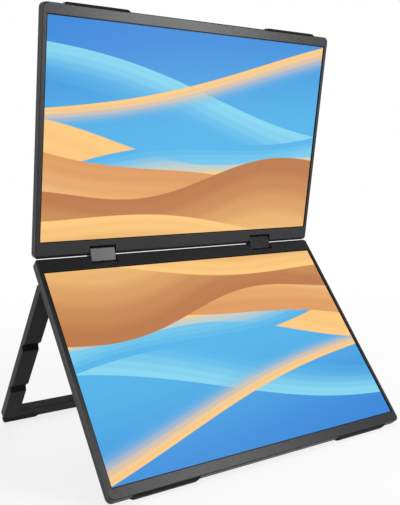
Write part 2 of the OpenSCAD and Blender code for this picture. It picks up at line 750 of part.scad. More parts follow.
module upper_bezel() upper_place() bezel();
module upper_back_cover() upper_place() back_cover();
module upper_rear_housing() upper_place() rear_housing(false);
module upper_lcd_glass() upper_place() lcd_glass();
module upper_light_guide() upper_place() light_guide();
module upper_lcd_tray() upper_place() lcd_tray();
module upper_column_board() upper_place() column_board();
module upper_panel_flex() upper_place() panel_flex();
module upper_driver_board() upper_place() driver_board();
module upper_board_chips() upper_place() board_chips();
module upper_usb_c_sockets() upper_place() usb_c_sockets();
module upper_hdmi_socket() upper_place() hdmi_socket();
module upper_switches() upper_place() switches();
module upper_power_button() upper_place() button(power_y);
module upper_menu_button() upper_place() button(menu_y);
module upper_speakers() upper_place() speakers();
module upper_hinge_brackets() upper_place() hinge_brackets();
module upper_hinge_shafts() upper_place() hinge_shafts();
module upper_friction_washers() upper_place() friction_washers();
module upper_hinge_nuts() upper_place() hinge_nuts();
module upper_cover_screws() upper_place() cover_screws();
module upper_edge_feet() upper_place() edge_feet();

module lower_bezel() lower_place() bezel();
module lower_back_cover() lower_place() back_cover();
module lower_rear_housing() lower_place() rear_housing(true);
module lower_lcd_glass() lower_place() lcd_glass();
module lower_light_guide() lower_place() light_guide();
module lower_lcd_tray() lower_place() lcd_tray();
module lower_column_board() lower_place() column_board();
module lower_panel_flex() lower_place() panel_flex();
module lower_driver_board() lower_place() driver_board();
module lower_board_chips() lower_place() board_chips();
module lower_usb_c_sockets() lower_place() usb_c_sockets();
module lower_hdmi_socket() lower_place() hdmi_socket();
module lower_switches() lower_place() switches();
module lower_power_button() lower_place() button(power_y);
module lower_menu_button() lower_place() button(menu_y);
module lower_speakers() lower_place() speakers();
module lower_hinge_brackets() lower_place() hinge_brackets();
module lower_hinge_shafts() lower_place() hinge_shafts();
module lower_friction_washers() lower_place() friction_washers();
module lower_hinge_nuts() lower_place() hinge_nuts();
module lower_cover_screws() lower_place() cover_screws();
module lower_edge_feet() lower_place() edge_feet();

module left_hinge_block() link_place() translate([-hinge_x, 0, 0]) hinge_block();
module right_hinge_block() link_place() translate([hinge_x, 0, 0]) hinge_block();

module stand_frame() stand_place() stand_frame_shape();
module stand_pads() stand_place() stand_pads_shape();
module groove_linings() stand_place() groove_linings_shape();
module stand_pins() lower_place() stand_pins_shape();
module stand_washers() lower_place() stand_washers_shape();

upper_bezel();
upper_back_cover();
upper_rear_housing();
upper_lcd_glass();
upper_light_guide();
upper_lcd_tray();
upper_column_board();
upper_panel_flex();
upper_driver_board();
upper_board_chips();
upper_usb_c_sockets();
upper_hdmi_socket();
upper_switches();
upper_power_button();
upper_menu_button();
upper_speakers();
upper_hinge_brackets();
upper_hinge_shafts();
upper_friction_washers();
upper_hinge_nuts();
upper_cover_screws();
upper_edge_feet();
lower_bezel();
lower_back_cover();
lower_rear_housing();
lower_lcd_glass();
lower_light_guide();
lower_lcd_tray();
lower_column_board();
lower_panel_flex();
lower_driver_board();
lower_board_chips();
lower_usb_c_sockets();
lower_hdmi_socket();
lower_switches();
lower_power_button();
lower_menu_button();
lower_speakers();
lower_hinge_brackets();
lower_hinge_shafts();
lower_friction_washers();
lower_hinge_nuts();
lower_cover_screws();
lower_edge_feet();
left_hinge_block();
right_hinge_block();
stand_frame();
stand_pads();
groove_linings();
stand_pins();
stand_washers();
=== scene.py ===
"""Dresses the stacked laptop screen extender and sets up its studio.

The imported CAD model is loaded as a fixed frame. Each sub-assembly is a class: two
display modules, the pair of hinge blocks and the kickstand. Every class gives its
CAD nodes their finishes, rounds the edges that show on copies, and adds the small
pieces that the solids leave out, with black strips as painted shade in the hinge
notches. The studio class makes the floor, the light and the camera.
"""

import json
import logging
import math
from collections.abc import Callable, Iterator, Sequence
from contextlib import contextmanager
from dataclasses import dataclass
from enum import Enum
from functools import cached_property

import bmesh
import bpy
from mathutils import Euler, Matrix, Vector


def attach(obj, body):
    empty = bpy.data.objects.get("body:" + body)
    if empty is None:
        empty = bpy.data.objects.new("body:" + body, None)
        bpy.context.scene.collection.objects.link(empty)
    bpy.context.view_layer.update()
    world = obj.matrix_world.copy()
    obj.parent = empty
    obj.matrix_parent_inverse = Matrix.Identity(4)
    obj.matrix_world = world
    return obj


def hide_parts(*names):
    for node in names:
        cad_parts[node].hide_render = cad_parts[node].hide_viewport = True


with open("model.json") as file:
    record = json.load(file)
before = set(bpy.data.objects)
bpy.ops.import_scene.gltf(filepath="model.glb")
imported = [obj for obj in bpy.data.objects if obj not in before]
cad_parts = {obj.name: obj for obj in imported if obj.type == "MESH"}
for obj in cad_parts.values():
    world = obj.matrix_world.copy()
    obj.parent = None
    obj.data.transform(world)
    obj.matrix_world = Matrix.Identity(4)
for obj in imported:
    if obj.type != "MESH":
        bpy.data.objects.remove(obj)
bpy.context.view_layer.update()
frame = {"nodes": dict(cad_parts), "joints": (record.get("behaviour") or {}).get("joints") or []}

Colour = tuple[float, float, float]
Corners = tuple[Vector, Vector]
Span = tuple[float, float]
Triple = tuple[float, float, float]

MM = 0.001
LOG = logging.getLogger("screen_extender")
WHITE = (1.0, 1.0, 1.0, 1.0)
X_AXIS = Vector((1.0, 0.0, 0.0))
Y_AXIS = Vector((0.0, 1.0, 0.0))
Z_AXIS = Vector((0.0, 0.0, 1.0))


def screen_colour(red: int, green: int, blue: int) -> Colour:
    """Turns a colour as a screen shows it into linear light, by the sRGB curve.

    Args:
        red: Red from 0 to 255.
        green: Green from 0 to 255.
        blue: Blue from 0 to 255.

    Returns:
        The linear colour.
    """

    def linear(part: int) -> float:
        """One channel."""
        share = part / 255
        return share / 12.92 if share <= 0.04045 else ((share + 0.055) / 1.055) ** 2.4

    return linear(red), linear(green), linear(blue)


# ---------------------------------------------------------------- shader maths

MIX_SHARE, MIX_FIRST, MIX_SECOND = 0, 6, 7  # a Mix node's inputs when it blends colours
MIX_RESULT = 2  # and its output


class Value:
    """A shader socket that takes part in Python arithmetic."""

    def __init__(self, graph: "Graph", socket: bpy.types.NodeSocket | None) -> None:
        """Wraps an output socket of a graph, or None for a node that has none."""
        self.graph = graph
        self.socket = socket

    def _math(self, operation: str, *terms: "Value | float") -> "Value":
        """Adds one Math node that works on the given terms."""
        return self.graph.node("ShaderNodeMath", {"operation": operation}, dict(enumerate(terms)))

    def __add__(self, other: "Value | float") -> "Value":
        """Sum."""
        return self._math("ADD", self, other)

    def __radd__(self, other: float) -> "Value":
        """Sum with a number on the left."""
        return self._math("ADD", other, self)

    def __sub__(self, other: "Value | float") -> "Value":
        """Difference."""
        return self._math("SUBTRACT", self, other)

    def __rsub__(self, other: float) -> "Value":
        """Difference from a number."""
        return self._math("SUBTRACT", other, self)

    def __mul__(self, other: "Value | float") -> "Value":
        """Product."""
        return self._math("MULTIPLY", self, other)

    def __rmul__(self, other: float) -> "Value":
        """Product with a number on the left."""
        return self._math("MULTIPLY", other, self)

    def __truediv__(self, other: "Value | float") -> "Value":
        """Quotient."""
        return self._math("DIVIDE", self, other)

    def __rtruediv__(self, other: float) -> "Value":
        """A number divided by this value."""
        return self._math("DIVIDE", other, self)

    def sine(self) -> "Value":
        """Sine of an angle in radians."""
        return self._math("SINE", self)

    def centred(self) -> "Value":
        """Noise moved to swing about 0 and not about a half."""
        return self - 0.5

    def triangle(self, period: float) -> "Value":
        """A wave that runs from 0 to half the period and back."""
        return self._math("PINGPONG", self, period / 2)

    def rise(self, low: float, high: float) -> "Value":
        """Smooth step from 0 at low to 1 at high."""
        return self.graph.node(
            "ShaderNodeMapRange",
            {"interpolation_type": "SMOOTHSTEP"},
            {"Value": self, "From Min": low, "From Max": high},
        )

    def sibling(self, name: str) -> "Value":
        """Another output of the same node."""
        return Value(self.graph, self.socket.node.outputs[name])


class Graph:
    """The node graph of one material or of the world."""

    def __init__(self, tree: bpy.types.NodeTree) -> None:
        """Starts from an empty tree."""
        self.tree = tree
        tree.nodes.clear()

    def node(
        self,
        kind: str,
        settings: dict[str, object] | None = None,
        inputs: dict[str | int, object] | None = None,
        output: str | int = 0,
    ) -> Value:
        """Adds one node.

        Args:
            kind: The node's type.
            settings: Its properties.
            inputs: A number, colour or Value for each socket by name or place.
            output: The output that is handed back.

        Returns:
            The chosen output, with no socket where the node has none.
        """
        made = self.tree.nodes.new(kind)
        for key, setting in (settings or {}).items():
            setattr(made, key, setting)
        for key, given in (inputs or {}).items():
            if isinstance(given, Value):
                self.tree.links.new(given.socket, made.inputs[key])
            else:
                made.inputs[key].default_value = given
        return Value(self, made.outputs[output] if made.outputs else None)

    def place(self) -> Value:
        """The point on the surface, in metres."""
        return self.node("ShaderNodeTexCoord", output="Object")

    def along(self, point: Value, direction: Vector, origin: Vector | None = None) -> Value:
        """How far a point lies along a direction.

        Args:
            point: The point on the surface.
            direction: The direction; its length is the scale.
            origin: Where the measure starts, if not at the object's origin.

        Returns:
            The distance times the direction's length.
        """
        dot = self.node(
            "ShaderNodeVectorMath", {"operation": "DOT_PRODUCT"}, {0: point, 1: tuple(direction)}, "Value"
        )
        return dot if origin is None else dot - origin.dot(direction)

    def stretched(self, point: Value, scale: Triple) -> Value:
        """The point with each axis scaled."""
        return self.node("ShaderNodeVectorMath", {"operation": "MULTIPLY"}, {0: point, 1: scale})

    def noise(self, point: Value, size: float, detail: float = 2.0) -> Value:
        """Soft noise from 0 to 1 with features of a size in millimetres."""
        return self.node(
            "ShaderNodeTexNoise", None, {"Vector": point, "Scale": 1 / (size * MM), "Detail": detail}
        )

    def spots(self, point: Value, density: float, scatter: float, edge: Span) -> Value:
        """A field of round spots.

        Args:
            point: The point on the surface.
            density: How many spots lie side by side in a metre.
            scatter: 0 for straight rows, 1 for no order.
            edge: Where a spot starts to fade and where it ends, as shares of the spacing.

        Returns:
            1 inside the spots and 0 between them.
        """
        cells = self.node(
            "ShaderNodeTexVoronoi",
            {"feature": "F1"},
            {"Vector": point, "Scale": density, "Randomness": scatter},
        )
        return 1.0 - cells.rise(*edge)

    def mixed(self, share: Value | float, first: Value | Colour, second: Value | Colour) -> Value:
        """Blends two colours.

        Args:
            share: 0 for the first colour, 1 for the second.
            first: The first colour.
            second: The second colour.

        Returns:
            The blend.
        """
        inputs = {MIX_SHARE: share}
        for key, given in ((MIX_FIRST, first), (MIX_SECOND, second)):
            inputs[key] = given if isinstance(given, Value) else (*given, 1.0)
        return self.node("ShaderNodeMix", {"data_type": "RGBA"}, inputs, MIX_RESULT)

    def shaded(self, colour: Value | Colour, factor: Value) -> Value:
        """A colour made lighter or darker by a factor."""
        return self.node("ShaderNodeVectorMath", {"operation": "SCALE"}, {0: colour, "Scale": factor})

    def bumped(self, height: Value, depth: float) -> Value:
        """A normal bent by a height from 0 to 1 that stands for a depth in millimetres."""
        return self.node("ShaderNodeBump", None, {"Height": height, "Distance": depth * MM, "Strength": 1.0})

    def finish(self, inputs: dict[str | int, object]) -> None:
        """Ends the graph in a Principled surface with these inputs."""
        surface = self.node("ShaderNodeBsdfPrincipled", None, inputs)
        self.node("ShaderNodeOutputMaterial", None, {"Surface": surface})


# ---------------------------------------------------------------- finishes


class Slot(Enum):
    """The record's material slots."""

    CHARCOAL = "charcoal_plastic"
    DARK = "dark_plastic"
    DISPLAY = "display"
    GUIDE = "light_guide"
    SHEET = "aluminium_sheet"
    BOARD = "circuit_board"
    RIBBON = "polyimide"
    CHIP = "chip_black"
    SOCKET = "socket_steel"
    BUTTON = "button_plastic"
    SPEAKER = "speaker_black"
    HINGE = "hinge_steel"
    RUBBER = "rubber"
    BLOCK = "hinge_paint"
    STAND = "stand_plastic"


@dataclass(frozen=True)
class Finish:
    """What every finish has.

    Attributes:
        name: Name of its material.
        slot: The record's slot that it belongs to. Not used.
    """

    name: str
    slot: Slot

    def material(self) -> bpy.types.Material:
        """Builds the material.

        Returns:
            The material.
        """
        made = bpy.data.materials.new(self.name)
        made.use_nodes = True
        self.write(Graph(made.node_tree))
        return made

    def write(self, graph: Graph) -> None:
        """Writes the nodes of the finish."""
        raise NotImplementedError


@dataclass(frozen=True)
class Moulded(Finish):
    """Matt moulded plastic with a fine spark-eroded grain.

    Attributes:
        colour: Linear colour of the plastic.
        roughness: Mean roughness.
        grain: Size of the grain in millimetres.
        depth: Depth of the grain in millimetres.
        specular: Specular level.
        mottle: Share by which the tone drifts over the surface.
        drift: Size of the drift in millimetres.
        drift_rough: How far the roughness drifts.
        grain_tone: How far the grain changes the tone.
        grain_rough: How far the grain changes the roughness.
        mark: Size of the handling marks in millimetres.
        mark_stretch: Scale of the marks along x, y and z.
        mark_edge: Noise level where a mark starts and where it is full.
        mark_strength: How far a mark lightens and polishes the plastic.
    """

    colour: Colour
    roughness: float = 0.46
    grain: float = 0.42
    depth: float = 0.035
    specular: float = 0.42
    mottle: float = 0.07
    drift: float = 55.0
    drift_rough: float = 0.08
    grain_tone: float = 0.22
    grain_rough: float = 0.16
    mark: float = 9.0
    mark_stretch: Triple = (1.0, 0.35, 0.35)
    mark_edge: Span = (0.56, 0.74)
    mark_strength: float = 0.03

    def write(self, graph: Graph) -> None:
        """Writes grain, slow drift of tone and faint handling marks.

        Args:
            graph: The graph to write in.
        """
        point = graph.place()
        grain = graph.noise(point, self.grain, detail=3.0)
        drift = graph.noise(point, self.drift, detail=3.0)
        worn = graph.noise(graph.stretched(point, self.mark_stretch), self.mark, detail=4.0)
        marks = worn.rise(*self.mark_edge) * self.mark_strength
        tone = 1.0 + drift.centred() * (2 * self.mottle) + grain.centred() * self.grain_tone + marks
        swing = drift.centred() * self.drift_rough + grain.centred() * self.grain_rough
        graph.finish(
            {
                "Base Color": graph.shaded(self.colour, tone),
                "Roughness": self.roughness + swing - marks,
                "Normal": graph.bumped(grain, self.depth),
                "Specular IOR Level": self.specular,
            }
        )


@dataclass(frozen=True)
class Rubber(Finish):
    """Soft black rubber with a dusty bloom.

    Attributes:
        colour: Linear colour.
        roughness: Roughness where it is clean.
        specular: Specular level.
        pebble: Size of the pebbled skin in millimetres.
        pebble_depth: Depth of the skin in millimetres.
        pebble_tone: How far the skin changes the tone.
        patch: Size of the dusty patches in millimetres.
        patch_edge: Noise level where a patch starts and where it is full.
        bloom: How much paler the dusty places are.
        bloom_rough: How much rougher the dusty places are.
    """

    colour: Colour
    roughness: float = 0.72
    specular: float = 0.2
    pebble: float = 0.7
    pebble_depth: float = 0.05
    pebble_tone: float = 0.3
    patch: float = 6.0
    patch_edge: Span = (0.45, 0.8)
    bloom: float = 0.5
    bloom_rough: float = 0.15

    def write(self, graph: Graph) -> None:
        """Writes a pebbled skin with bloom in soft patches.

        Args:
            graph: The graph to write in.
        """
        point = graph.place()
        pebble = graph.noise(point, self.pebble)
        dust = graph.noise(point, self.patch, detail=4.0).rise(*self.patch_edge)
        tone = 1.0 + dust * self.bloom + pebble.centred() * self.pebble_tone
        graph.finish(
            {
                "Base Color": graph.shaded(self.colour, tone),
                "Roughness": self.roughness + dust * self.bloom_rough,
                "Normal": graph.bumped(pebble, self.pebble_depth),
                "Specular IOR Level": self.specular,
            }
        )


@dataclass(frozen=True)
class BrushedMetal(Finish):
    """Metal with fine lines along one axis.

    Attributes:
        colour: Linear colour of the metal.
        lines: Scale of the brushing along x, y and z.
        roughness: Mean roughness.
        line: Width of the brush lines in millimetres.
        line_depth: Depth of the lines in millimetres.
        line_tone: How far the lines lighten the metal.
        line_rough: How far the lines change the roughness.
        stain: Size of the stains in millimetres.
        stain_tone: How far a stain darkens the metal.
        stain_rough: How far a stain changes the roughness.
        base_tone: Tone between the lines.
    """

    colour: Colour
    lines: Triple = (0.06, 1.0, 1.0)
    roughness: float = 0.32
    line: float = 0.35
    line_depth: float = 0.006
    line_tone: float = 0.14
    line_rough: float = 0.2
    stain: float = 12.0
    stain_tone: float = 0.06
    stain_rough: float = 0.1
    base_tone: float = 0.93

    def write(self, graph: Graph) -> None:
        """Writes brush lines and a slight stain.

        Args:
            graph: The graph to write in.
        """
        point = graph.place()
        brush = graph.noise(graph.stretched(point, self.lines), self.line, detail=3.0)
        stain = graph.noise(point, self.stain, detail=3.0)
        swing = brush.centred() * self.line_rough + stain.centred() * self.stain_rough
        tone = self.base_tone + brush * self.line_tone - stain * self.stain_tone
        graph.finish(
            {
                "Base Color": graph.shaded(self.colour, tone),
                "Metallic": 1.0,
                "Roughness": self.roughness + swing,
                "Normal": graph.bumped(brush, self.line_depth),
            }
        )


@dataclass(frozen=True)
class SatinPaint(Finish):
    """Smooth dark satin paint over a cast block.

    Attributes:
        colour: Linear colour of the paint.
        roughness: Mean roughness.
        specular: Specular level.
        peel: Size of the orange peel in millimetres.
        peel_depth: Depth of the peel in millimetres.
        peel_tone: How far the peel changes the tone.
        rub: Size of the rub marks in millimetres.
        rub_stretch: Scale of the rub marks along x, y and z.
        rub_edge: Noise level where a mark starts and where it is full.
        rub_tone: How far a mark lightens the paint.
        rough_swing: How far peel and marks each change the roughness.
    """

    colour: Colour
    roughness: float = 0.16
    specular: float = 0.215
    peel: float = 1.6
    peel_depth: float = 0.008
    peel_tone: float = 0.2
    rub: float = 2.5
    rub_stretch: Triple = (0.3, 1.0, 1.0)
    rub_edge: Span = (0.5, 0.8)
    rub_tone: float = 0.15
    rough_swing: float = 0.05

    def write(self, graph: Graph) -> None:
        """Writes a soft orange peel and faint rub marks.

        Args:
            graph: The graph to write in.
        """
        point = graph.place()
        peel = graph.noise(point, self.peel)
        worn = graph.noise(graph.stretched(point, self.rub_stretch), self.rub, detail=4.0)
        rub = worn.rise(*self.rub_edge)
        tone = 1.0 + peel.centred() * self.peel_tone + rub * self.rub_tone
        graph.finish(
            {
                "Base Color": graph.shaded(self.colour, tone),
                "Roughness": self.roughness + (peel.centred() + rub) * self.rough_swing,
                "Normal": graph.bumped(peel, self.peel_depth),
                "Specular IOR Level": self.specular,
            }
        )


@dataclass(frozen=True)
class SolderMask(Finish):
    """Circuit board: green mask with copper runs and tinned dots.

    Attributes:
        mask: Colour of the mask on bare board.
        raised: Colour of the mask over copper.
        solder: Colour of the tinned dots.
        run_pitch: Distance between the runs in millimetres.
        run_edge: Where a run starts and is full, in millimetres.
        tie_pitch: Distance between the crossing runs in millimetres.
        tie_edge: Where a crossing run starts and is full, in millimetres.
        zone: Size of the zones with runs one way, in millimetres.
        zone_edge: Noise level between the zones.
        dots: Tinned dots to a metre.
        dot_scatter: How far the dots stray from their rows.
        dot_edge: Where a dot starts to fade and where it ends, as shares of the spacing.
        show: How clearly copper shows through the mask.
        roughness: Roughness of the mask.
        dot_rough: How much rougher the dots are.
        dot_metal: How metallic the dots are.
        depth: Height of copper and dots in millimetres.
    """

    mask: Colour = screen_colour(14, 62, 40)
    raised: Colour = screen_colour(38, 108, 66)
    solder: Colour = screen_colour(190, 186, 170)
    run_pitch: float = 1.1
    run_edge: Span = (0.36, 0.4)
    tie_pitch: float = 1.7
    tie_edge: Span = (0.62, 0.66)
    zone: float = 9.0
    zone_edge: Span = (0.48, 0.5)
    dots: float = 330.0
    dot_scatter: float = 0.6
    dot_edge: Span = (0.13, 0.16)
    show: float = 0.55
    roughness: float = 0.36
    dot_rough: float = 0.1
    dot_metal: float = 0.9
    depth: float = 0.03

    def write(self, graph: Graph) -> None:
        """Writes straight runs, crossings and dots.

        Args:
            graph: The graph to write in.
        """
        point = graph.place()
        slant = (Y_AXIS + Z_AXIS) * 0.7
        zone = graph.noise(point, self.zone, detail=0.0).rise(*self.zone_edge)
        runs = self._stripes(graph.along(point, X_AXIS), self.run_pitch, self.run_edge) * zone
        ties = self._stripes(graph.along(point, slant), self.tie_pitch, self.tie_edge) * (1.0 - zone)
        tin = graph.spots(point, self.dots, self.dot_scatter, self.dot_edge)
        board = graph.mixed((runs + ties) * self.show, self.mask, self.raised)
        graph.finish(
            {
                "Base Color": graph.mixed(tin, board, self.solder),
                "Metallic": tin * self.dot_metal,
                "Roughness": self.roughness + tin * self.dot_rough,
                "Normal": graph.bumped(runs + ties + tin, self.depth),
            }
        )

    @staticmethod
    def _stripes(distance: Value, pitch: float, edge: Span) -> Value:
        """Stripes at a pitch, with an edge in millimetres from the middle between two."""
        return distance.triangle(pitch * MM).rise(*(part * MM for part in edge))


@dataclass(frozen=True)
class LaminatedFilm(Finish):
    """Copper lines under amber film.

    Attributes:
        film: Colour of the film between the lines.
        copper: Colour of the lines through the film.
        pitch: Distance between the lines in millimetres.
        line_edge: Where a line starts and is full, as shares of the pitch.
        line_depth: Height of the lines in millimetres.
        roughness: Least roughness.
        cloud: Size of the hazy patches in millimetres.
        cloud_rough: How much rougher the haze is.
    """

    film: Colour = screen_colour(120, 66, 18)
    copper: Colour = screen_colour(196, 120, 48)
    pitch: float = 0.8
    line_edge: Span = (0.18, 0.26)
    line_depth: float = 0.02
    roughness: float = 0.3
    cloud: float = 4.0
    cloud_rough: float = 0.1

    def write(self, graph: Graph) -> None:
        """Writes the lines across the ribbon.

        Args:
            graph: The graph to write in.
        """
        point = graph.place()
        pitch = self.pitch * MM
        lines = graph.along(point, X_AXIS).triangle(pitch).rise(*(part * pitch for part in self.line_edge))
        graph.finish(
            {
                "Base Color": graph.mixed(lines, self.film, self.copper),
                "Roughness": self.roughness + graph.noise(point, self.cloud) * self.cloud_rough,
                "Normal": graph.bumped(lines, self.line_depth),
            }
        )


@dataclass(frozen=True)
class DiffuserSheet(Finish):
    """Milky light guide with its printed dots.

    Attributes:
        milk: Colour of the sheet.
        ink: Colour of the dots.
        dots: Dots to a metre.
        dot_scatter: How far the dots stray from their rows.
        dot_edge: Where a dot starts to fade and where it ends, as shares of the spacing.
        roughness: Roughness of the sheet.
        dot_rough: How much rougher the dots are.
        specular: Specular level.
    """

    milk: Colour = screen_colour(222, 228, 232)
    ink: Colour = screen_colour(250, 252, 255)
    dots: float = 620.0
    dot_scatter: float = 0.1
    dot_edge: Span = (0.2, 0.28)
    roughness: float = 0.22
    dot_rough: float = 0.3
    specular: float = 0.5

    def write(self, graph: Graph) -> None:
        """Writes rows of fine dots on a milky sheet.

        Args:
            graph: The graph to write in.
        """
        dots = graph.spots(graph.place(), self.dots, self.dot_scatter, self.dot_edge)
        graph.finish(
            {
                "Base Color": graph.mixed(dots, self.milk, self.ink),
                "Roughness": self.roughness + dots * self.dot_rough,
                "Specular IOR Level": self.specular,
            }
        )


@dataclass(frozen=True)
class PerforatedCap(Finish):
    """Black speaker front with rows of round holes, with painted shade in the holes.

    Attributes:
        face: Colour of the front.
        hole_shade: Colour of the painted shade in the holes.
        holes: Holes to a metre.
        hole_edge: Where a hole starts to fade and where it ends, as shares of the spacing.
        hole_depth: Depth of the holes in millimetres.
        roughness: Roughness of the front.
        hole_rough: How much rougher the holes are.
    """

    face: Colour = screen_colour(42, 42, 45)
    hole_shade: Colour = screen_colour(6, 6, 7)
    holes: float = 800.0
    hole_edge: Span = (0.24, 0.32)
    hole_depth: float = 0.2
    roughness: float = 0.5
    hole_rough: float = 0.3

    def write(self, graph: Graph) -> None:
        """Writes the holes as dimples with painted shade in them.

        Args:
            graph: The graph to write in.
        """
        hole = graph.spots(graph.place(), self.holes, 0.0, self.hole_edge)
        graph.finish(
            {
                # The colour in the holes is painted shade, darker than the front.
                "Base Color": graph.mixed(hole, self.face, self.hole_shade),
                "Roughness": self.roughness + hole * self.hole_rough,
                "Normal": graph.bumped(1.0 - hole, self.hole_depth),
            }
        )


@dataclass(frozen=True)
class Streamer:
    """One flowing ribbon of the abstract picture.

    Attributes:
        level: Height of its upper edge at the left, as a share of the picture.
        slope: Rise from left to right.
        swing: Height of its wave.
        waves: How many waves cross the picture.
        phase: Where the wave starts, in turns.
        width: Its width at the left.
        spread: How much wider it is at the right.
        crest: Colour along its upper edge.
        body: Colour along its lower edge.
        clear: How much shows through it at its lower edge.
    """

    level: float
    slope: float
    swing: float
    waves: float
    phase: float
    width: float
    spread: float
    crest: Colour
    body: Colour
    clear: float = 0.0


SAND_LIGHT = screen_colour(253, 202, 128)
SAND = screen_colour(222, 156, 98)
SAND_DEEP = screen_colour(188, 122, 76)
SKY_PALE = screen_colour(134, 212, 238)
SKY = screen_colour(84, 180, 232)
SKY_DEEP = screen_colour(52, 134, 216)

STREAMERS = (
    # level, slope, swing, waves, phase, width, spread, crest, body, clear
    Streamer(0.86, -0.30, 0.050, 0.70, 0.10, 0.16, 0.10, SKY_PALE, SKY, 0.7),
    Streamer(0.62, 0.34, 0.045, 0.60, 0.55, 0.10, 0.05, SAND_LIGHT, SKY, 0.9),
    Streamer(0.50, -0.16, 0.060, 0.90, 0.30, 0.60, 0.40, SAND_LIGHT, SAND),
    Streamer(0.30, 0.26, 0.055, 0.75, 0.05, 0.16, -0.04, SKY, SKY_PALE, 0.5),
    Streamer(0.46, -0.34, 0.050, 0.80, 0.70, 0.34, 0.10, SAND, SAND_LIGHT, 0.2),
    Streamer(0.20, 0.16, 0.060, 1.05, 0.40, 0.40, 0.20, SAND_DEEP, SAND_LIGHT),
    Streamer(0.12, -0.14, 0.040, 0.85, 0.90, 0.30, 0.10, SAND_LIGHT, SAND_DEEP),
)


@dataclass(frozen=True)
class LitPicture(Finish):
    """Display glass with a lit abstract picture and an unlit border.

    The picture is a blue fade crossed by silky ribbons in blue and sand tones.

    Attributes:
        corner: Corner of the lit picture where it is hinged, left as its module stands alone.
        across: Direction across the picture, one over its width long.
        upward: Direction from the hinge to the outer edge, one over its height long.
        glass: Colour of the unlit glass.
        roughness: Least roughness of the matt film.
        haze: Size of the film's grain in millimetres.
        haze_rough: How far the grain changes the roughness.
        specular: Specular level.
        border: Softness of the picture's edge in millimetres.
        fade_lean: Share of the fade that runs across and not up the picture.
        fade_edge: Where the fade starts and where it is full.
        strands: Strands in a ribbon, in radians across its width.
        strand_bend: How far the strands follow the ribbon's wave.
        strand_tone: How far the strands change the tone.
        strand_edge: Where the strands are full below the upper edge and where they start to end.
        rim: Softness of a ribbon's upper edge, as a share of its width.
        hem: Where a ribbon starts to end at its lower edge.
        clear_start: Where a ribbon starts to turn clear.
    """

    corner: Vector
    across: Vector
    upward: Vector
    glass: Colour = screen_colour(8, 8, 9)
    roughness: float = 0.34
    haze: float = 0.5
    haze_rough: float = 0.06
    specular: float = 0.1
    border: float = 0.1
    fade_lean: float = 0.15
    fade_edge: Span = (0.45, 1.0)
    strands: float = 34.0
    strand_bend: float = 1.5
    strand_tone: float = 0.035
    strand_edge: Span = (0.1, 0.5)
    rim: float = 0.006
    hem: float = 0.985
    clear_start: float = 0.2

    def write(self, graph: Graph) -> None:
        """Writes the picture as light, and black glass round it.

        Args:
            graph: The graph to write in.
        """
        point = graph.place()
        side = graph.along(point, self.across, self.corner)
        height = graph.along(point, self.upward, self.corner)
        lean = height * (1.0 - self.fade_lean) + (1.0 - side) * self.fade_lean
        picture = graph.mixed(lean.rise(*self.fade_edge), SKY, SKY_DEEP)
        for streamer in STREAMERS:
            picture = self._lay(graph, picture, streamer, side, height)
        lit = self._inside(side, self.across) * self._inside(height, self.upward)
        graph.finish(
            {
                "Base Color": (*self.glass, 1.0),
                "Roughness": self.roughness + graph.noise(point, self.haze, detail=1.0) * self.haze_rough,
                "Specular IOR Level": self.specular,
                "Emission Color": graph.shaded(picture, lit),
                "Emission Strength": 1.0,
            }
        )

    def _lay(self, graph: Graph, below: Value, ribbon: Streamer, side: Value, height: Value) -> Value:
        """Lays one ribbon over what is below it.

        Args:
            graph: The graph.
            below: The picture so far.
            ribbon: The ribbon to lay.
            side: Share across the picture.
            height: Share up the picture.

        Returns:
            The picture with the ribbon.
        """
        swell = ((side * ribbon.waves + ribbon.phase) * math.tau).sine()
        edge = side * ribbon.slope + swell * ribbon.swing + ribbon.level
        across = (edge - height) / (side * ribbon.spread + ribbon.width)
        full, ending = self.strand_edge
        strand = (across * self.strands + swell * self.strand_bend).sine()
        strand = strand * across.rise(0.0, full) * (1.0 - across.rise(ending, 1.0))
        colour = graph.mixed(across.rise(0.0, 1.0), ribbon.crest, ribbon.body)
        silk = graph.shaded(colour, 1.0 + strand * self.strand_tone)
        cover = across.rise(-self.rim, self.rim) * (1.0 - across.rise(self.hem, 1.0))
        solid = 1.0 - across.rise(self.clear_start, 1.0) * ribbon.clear
        return graph.mixed(cover * solid, below, silk)

    def _inside(self, share: Value, direction: Vector) -> Value:
        """1 where a share lies between 0 and 1, with a soft edge."""
        soft = self.border * MM * direction.length
        return share.rise(-soft, soft) * (1.0 - share.rise(1.0 - soft, 1.0 + soft))


BEZEL = Moulded("Bezel charcoal", Slot.CHARCOAL, screen_colour(23, 23, 26), roughness=0.3, specular=0.36)
COVER = Moulded(
    "Cover dark grey",
    Slot.DARK,
    screen_colour(33, 33, 36),
    roughness=0.5,
    grain=0.6,
    depth=0.06,
    specular=0.24,
)
STAND = Moulded(
    "Stand black",
    Slot.STAND,
    screen_colour(18, 18, 20),
    roughness=0.42,
    grain=0.5,
    depth=0.04,
    specular=0.12,
)
BUTTON = Moulded("Button grey", Slot.BUTTON, screen_colour(62, 62, 66), roughness=0.35, depth=0.015)
CHIP = Moulded("Chip black", Slot.CHIP, screen_colour(24, 24, 26), roughness=0.55, grain=0.2, depth=0.01)
TONGUE = Moulded("Tongue black", Slot.CHIP, screen_colour(18, 18, 19), roughness=0.4, grain=0.2, depth=0.01)
RUBBER = Rubber("Rubber black", Slot.RUBBER, screen_colour(12, 12, 13))
BLOCK = SatinPaint("Hinge block satin black", Slot.BLOCK, screen_colour(20, 20, 23))
STEEL = BrushedMetal("Hinge steel", Slot.HINGE, screen_colour(172, 173, 176))
SHELL = BrushedMetal("Socket steel", Slot.SOCKET, screen_colour(188, 188, 190), roughness=0.25)
TRAY = BrushedMetal(
    "Tray sheet", Slot.SHEET, screen_colour(196, 198, 202), lines=(1.0, 0.08, 0.08), roughness=0.4
)
SCREW = BrushedMetal(
    "Screw black zinc", Slot.HINGE, screen_colour(70, 70, 74), lines=(1.0, 1.0, 1.0), roughness=0.36
)
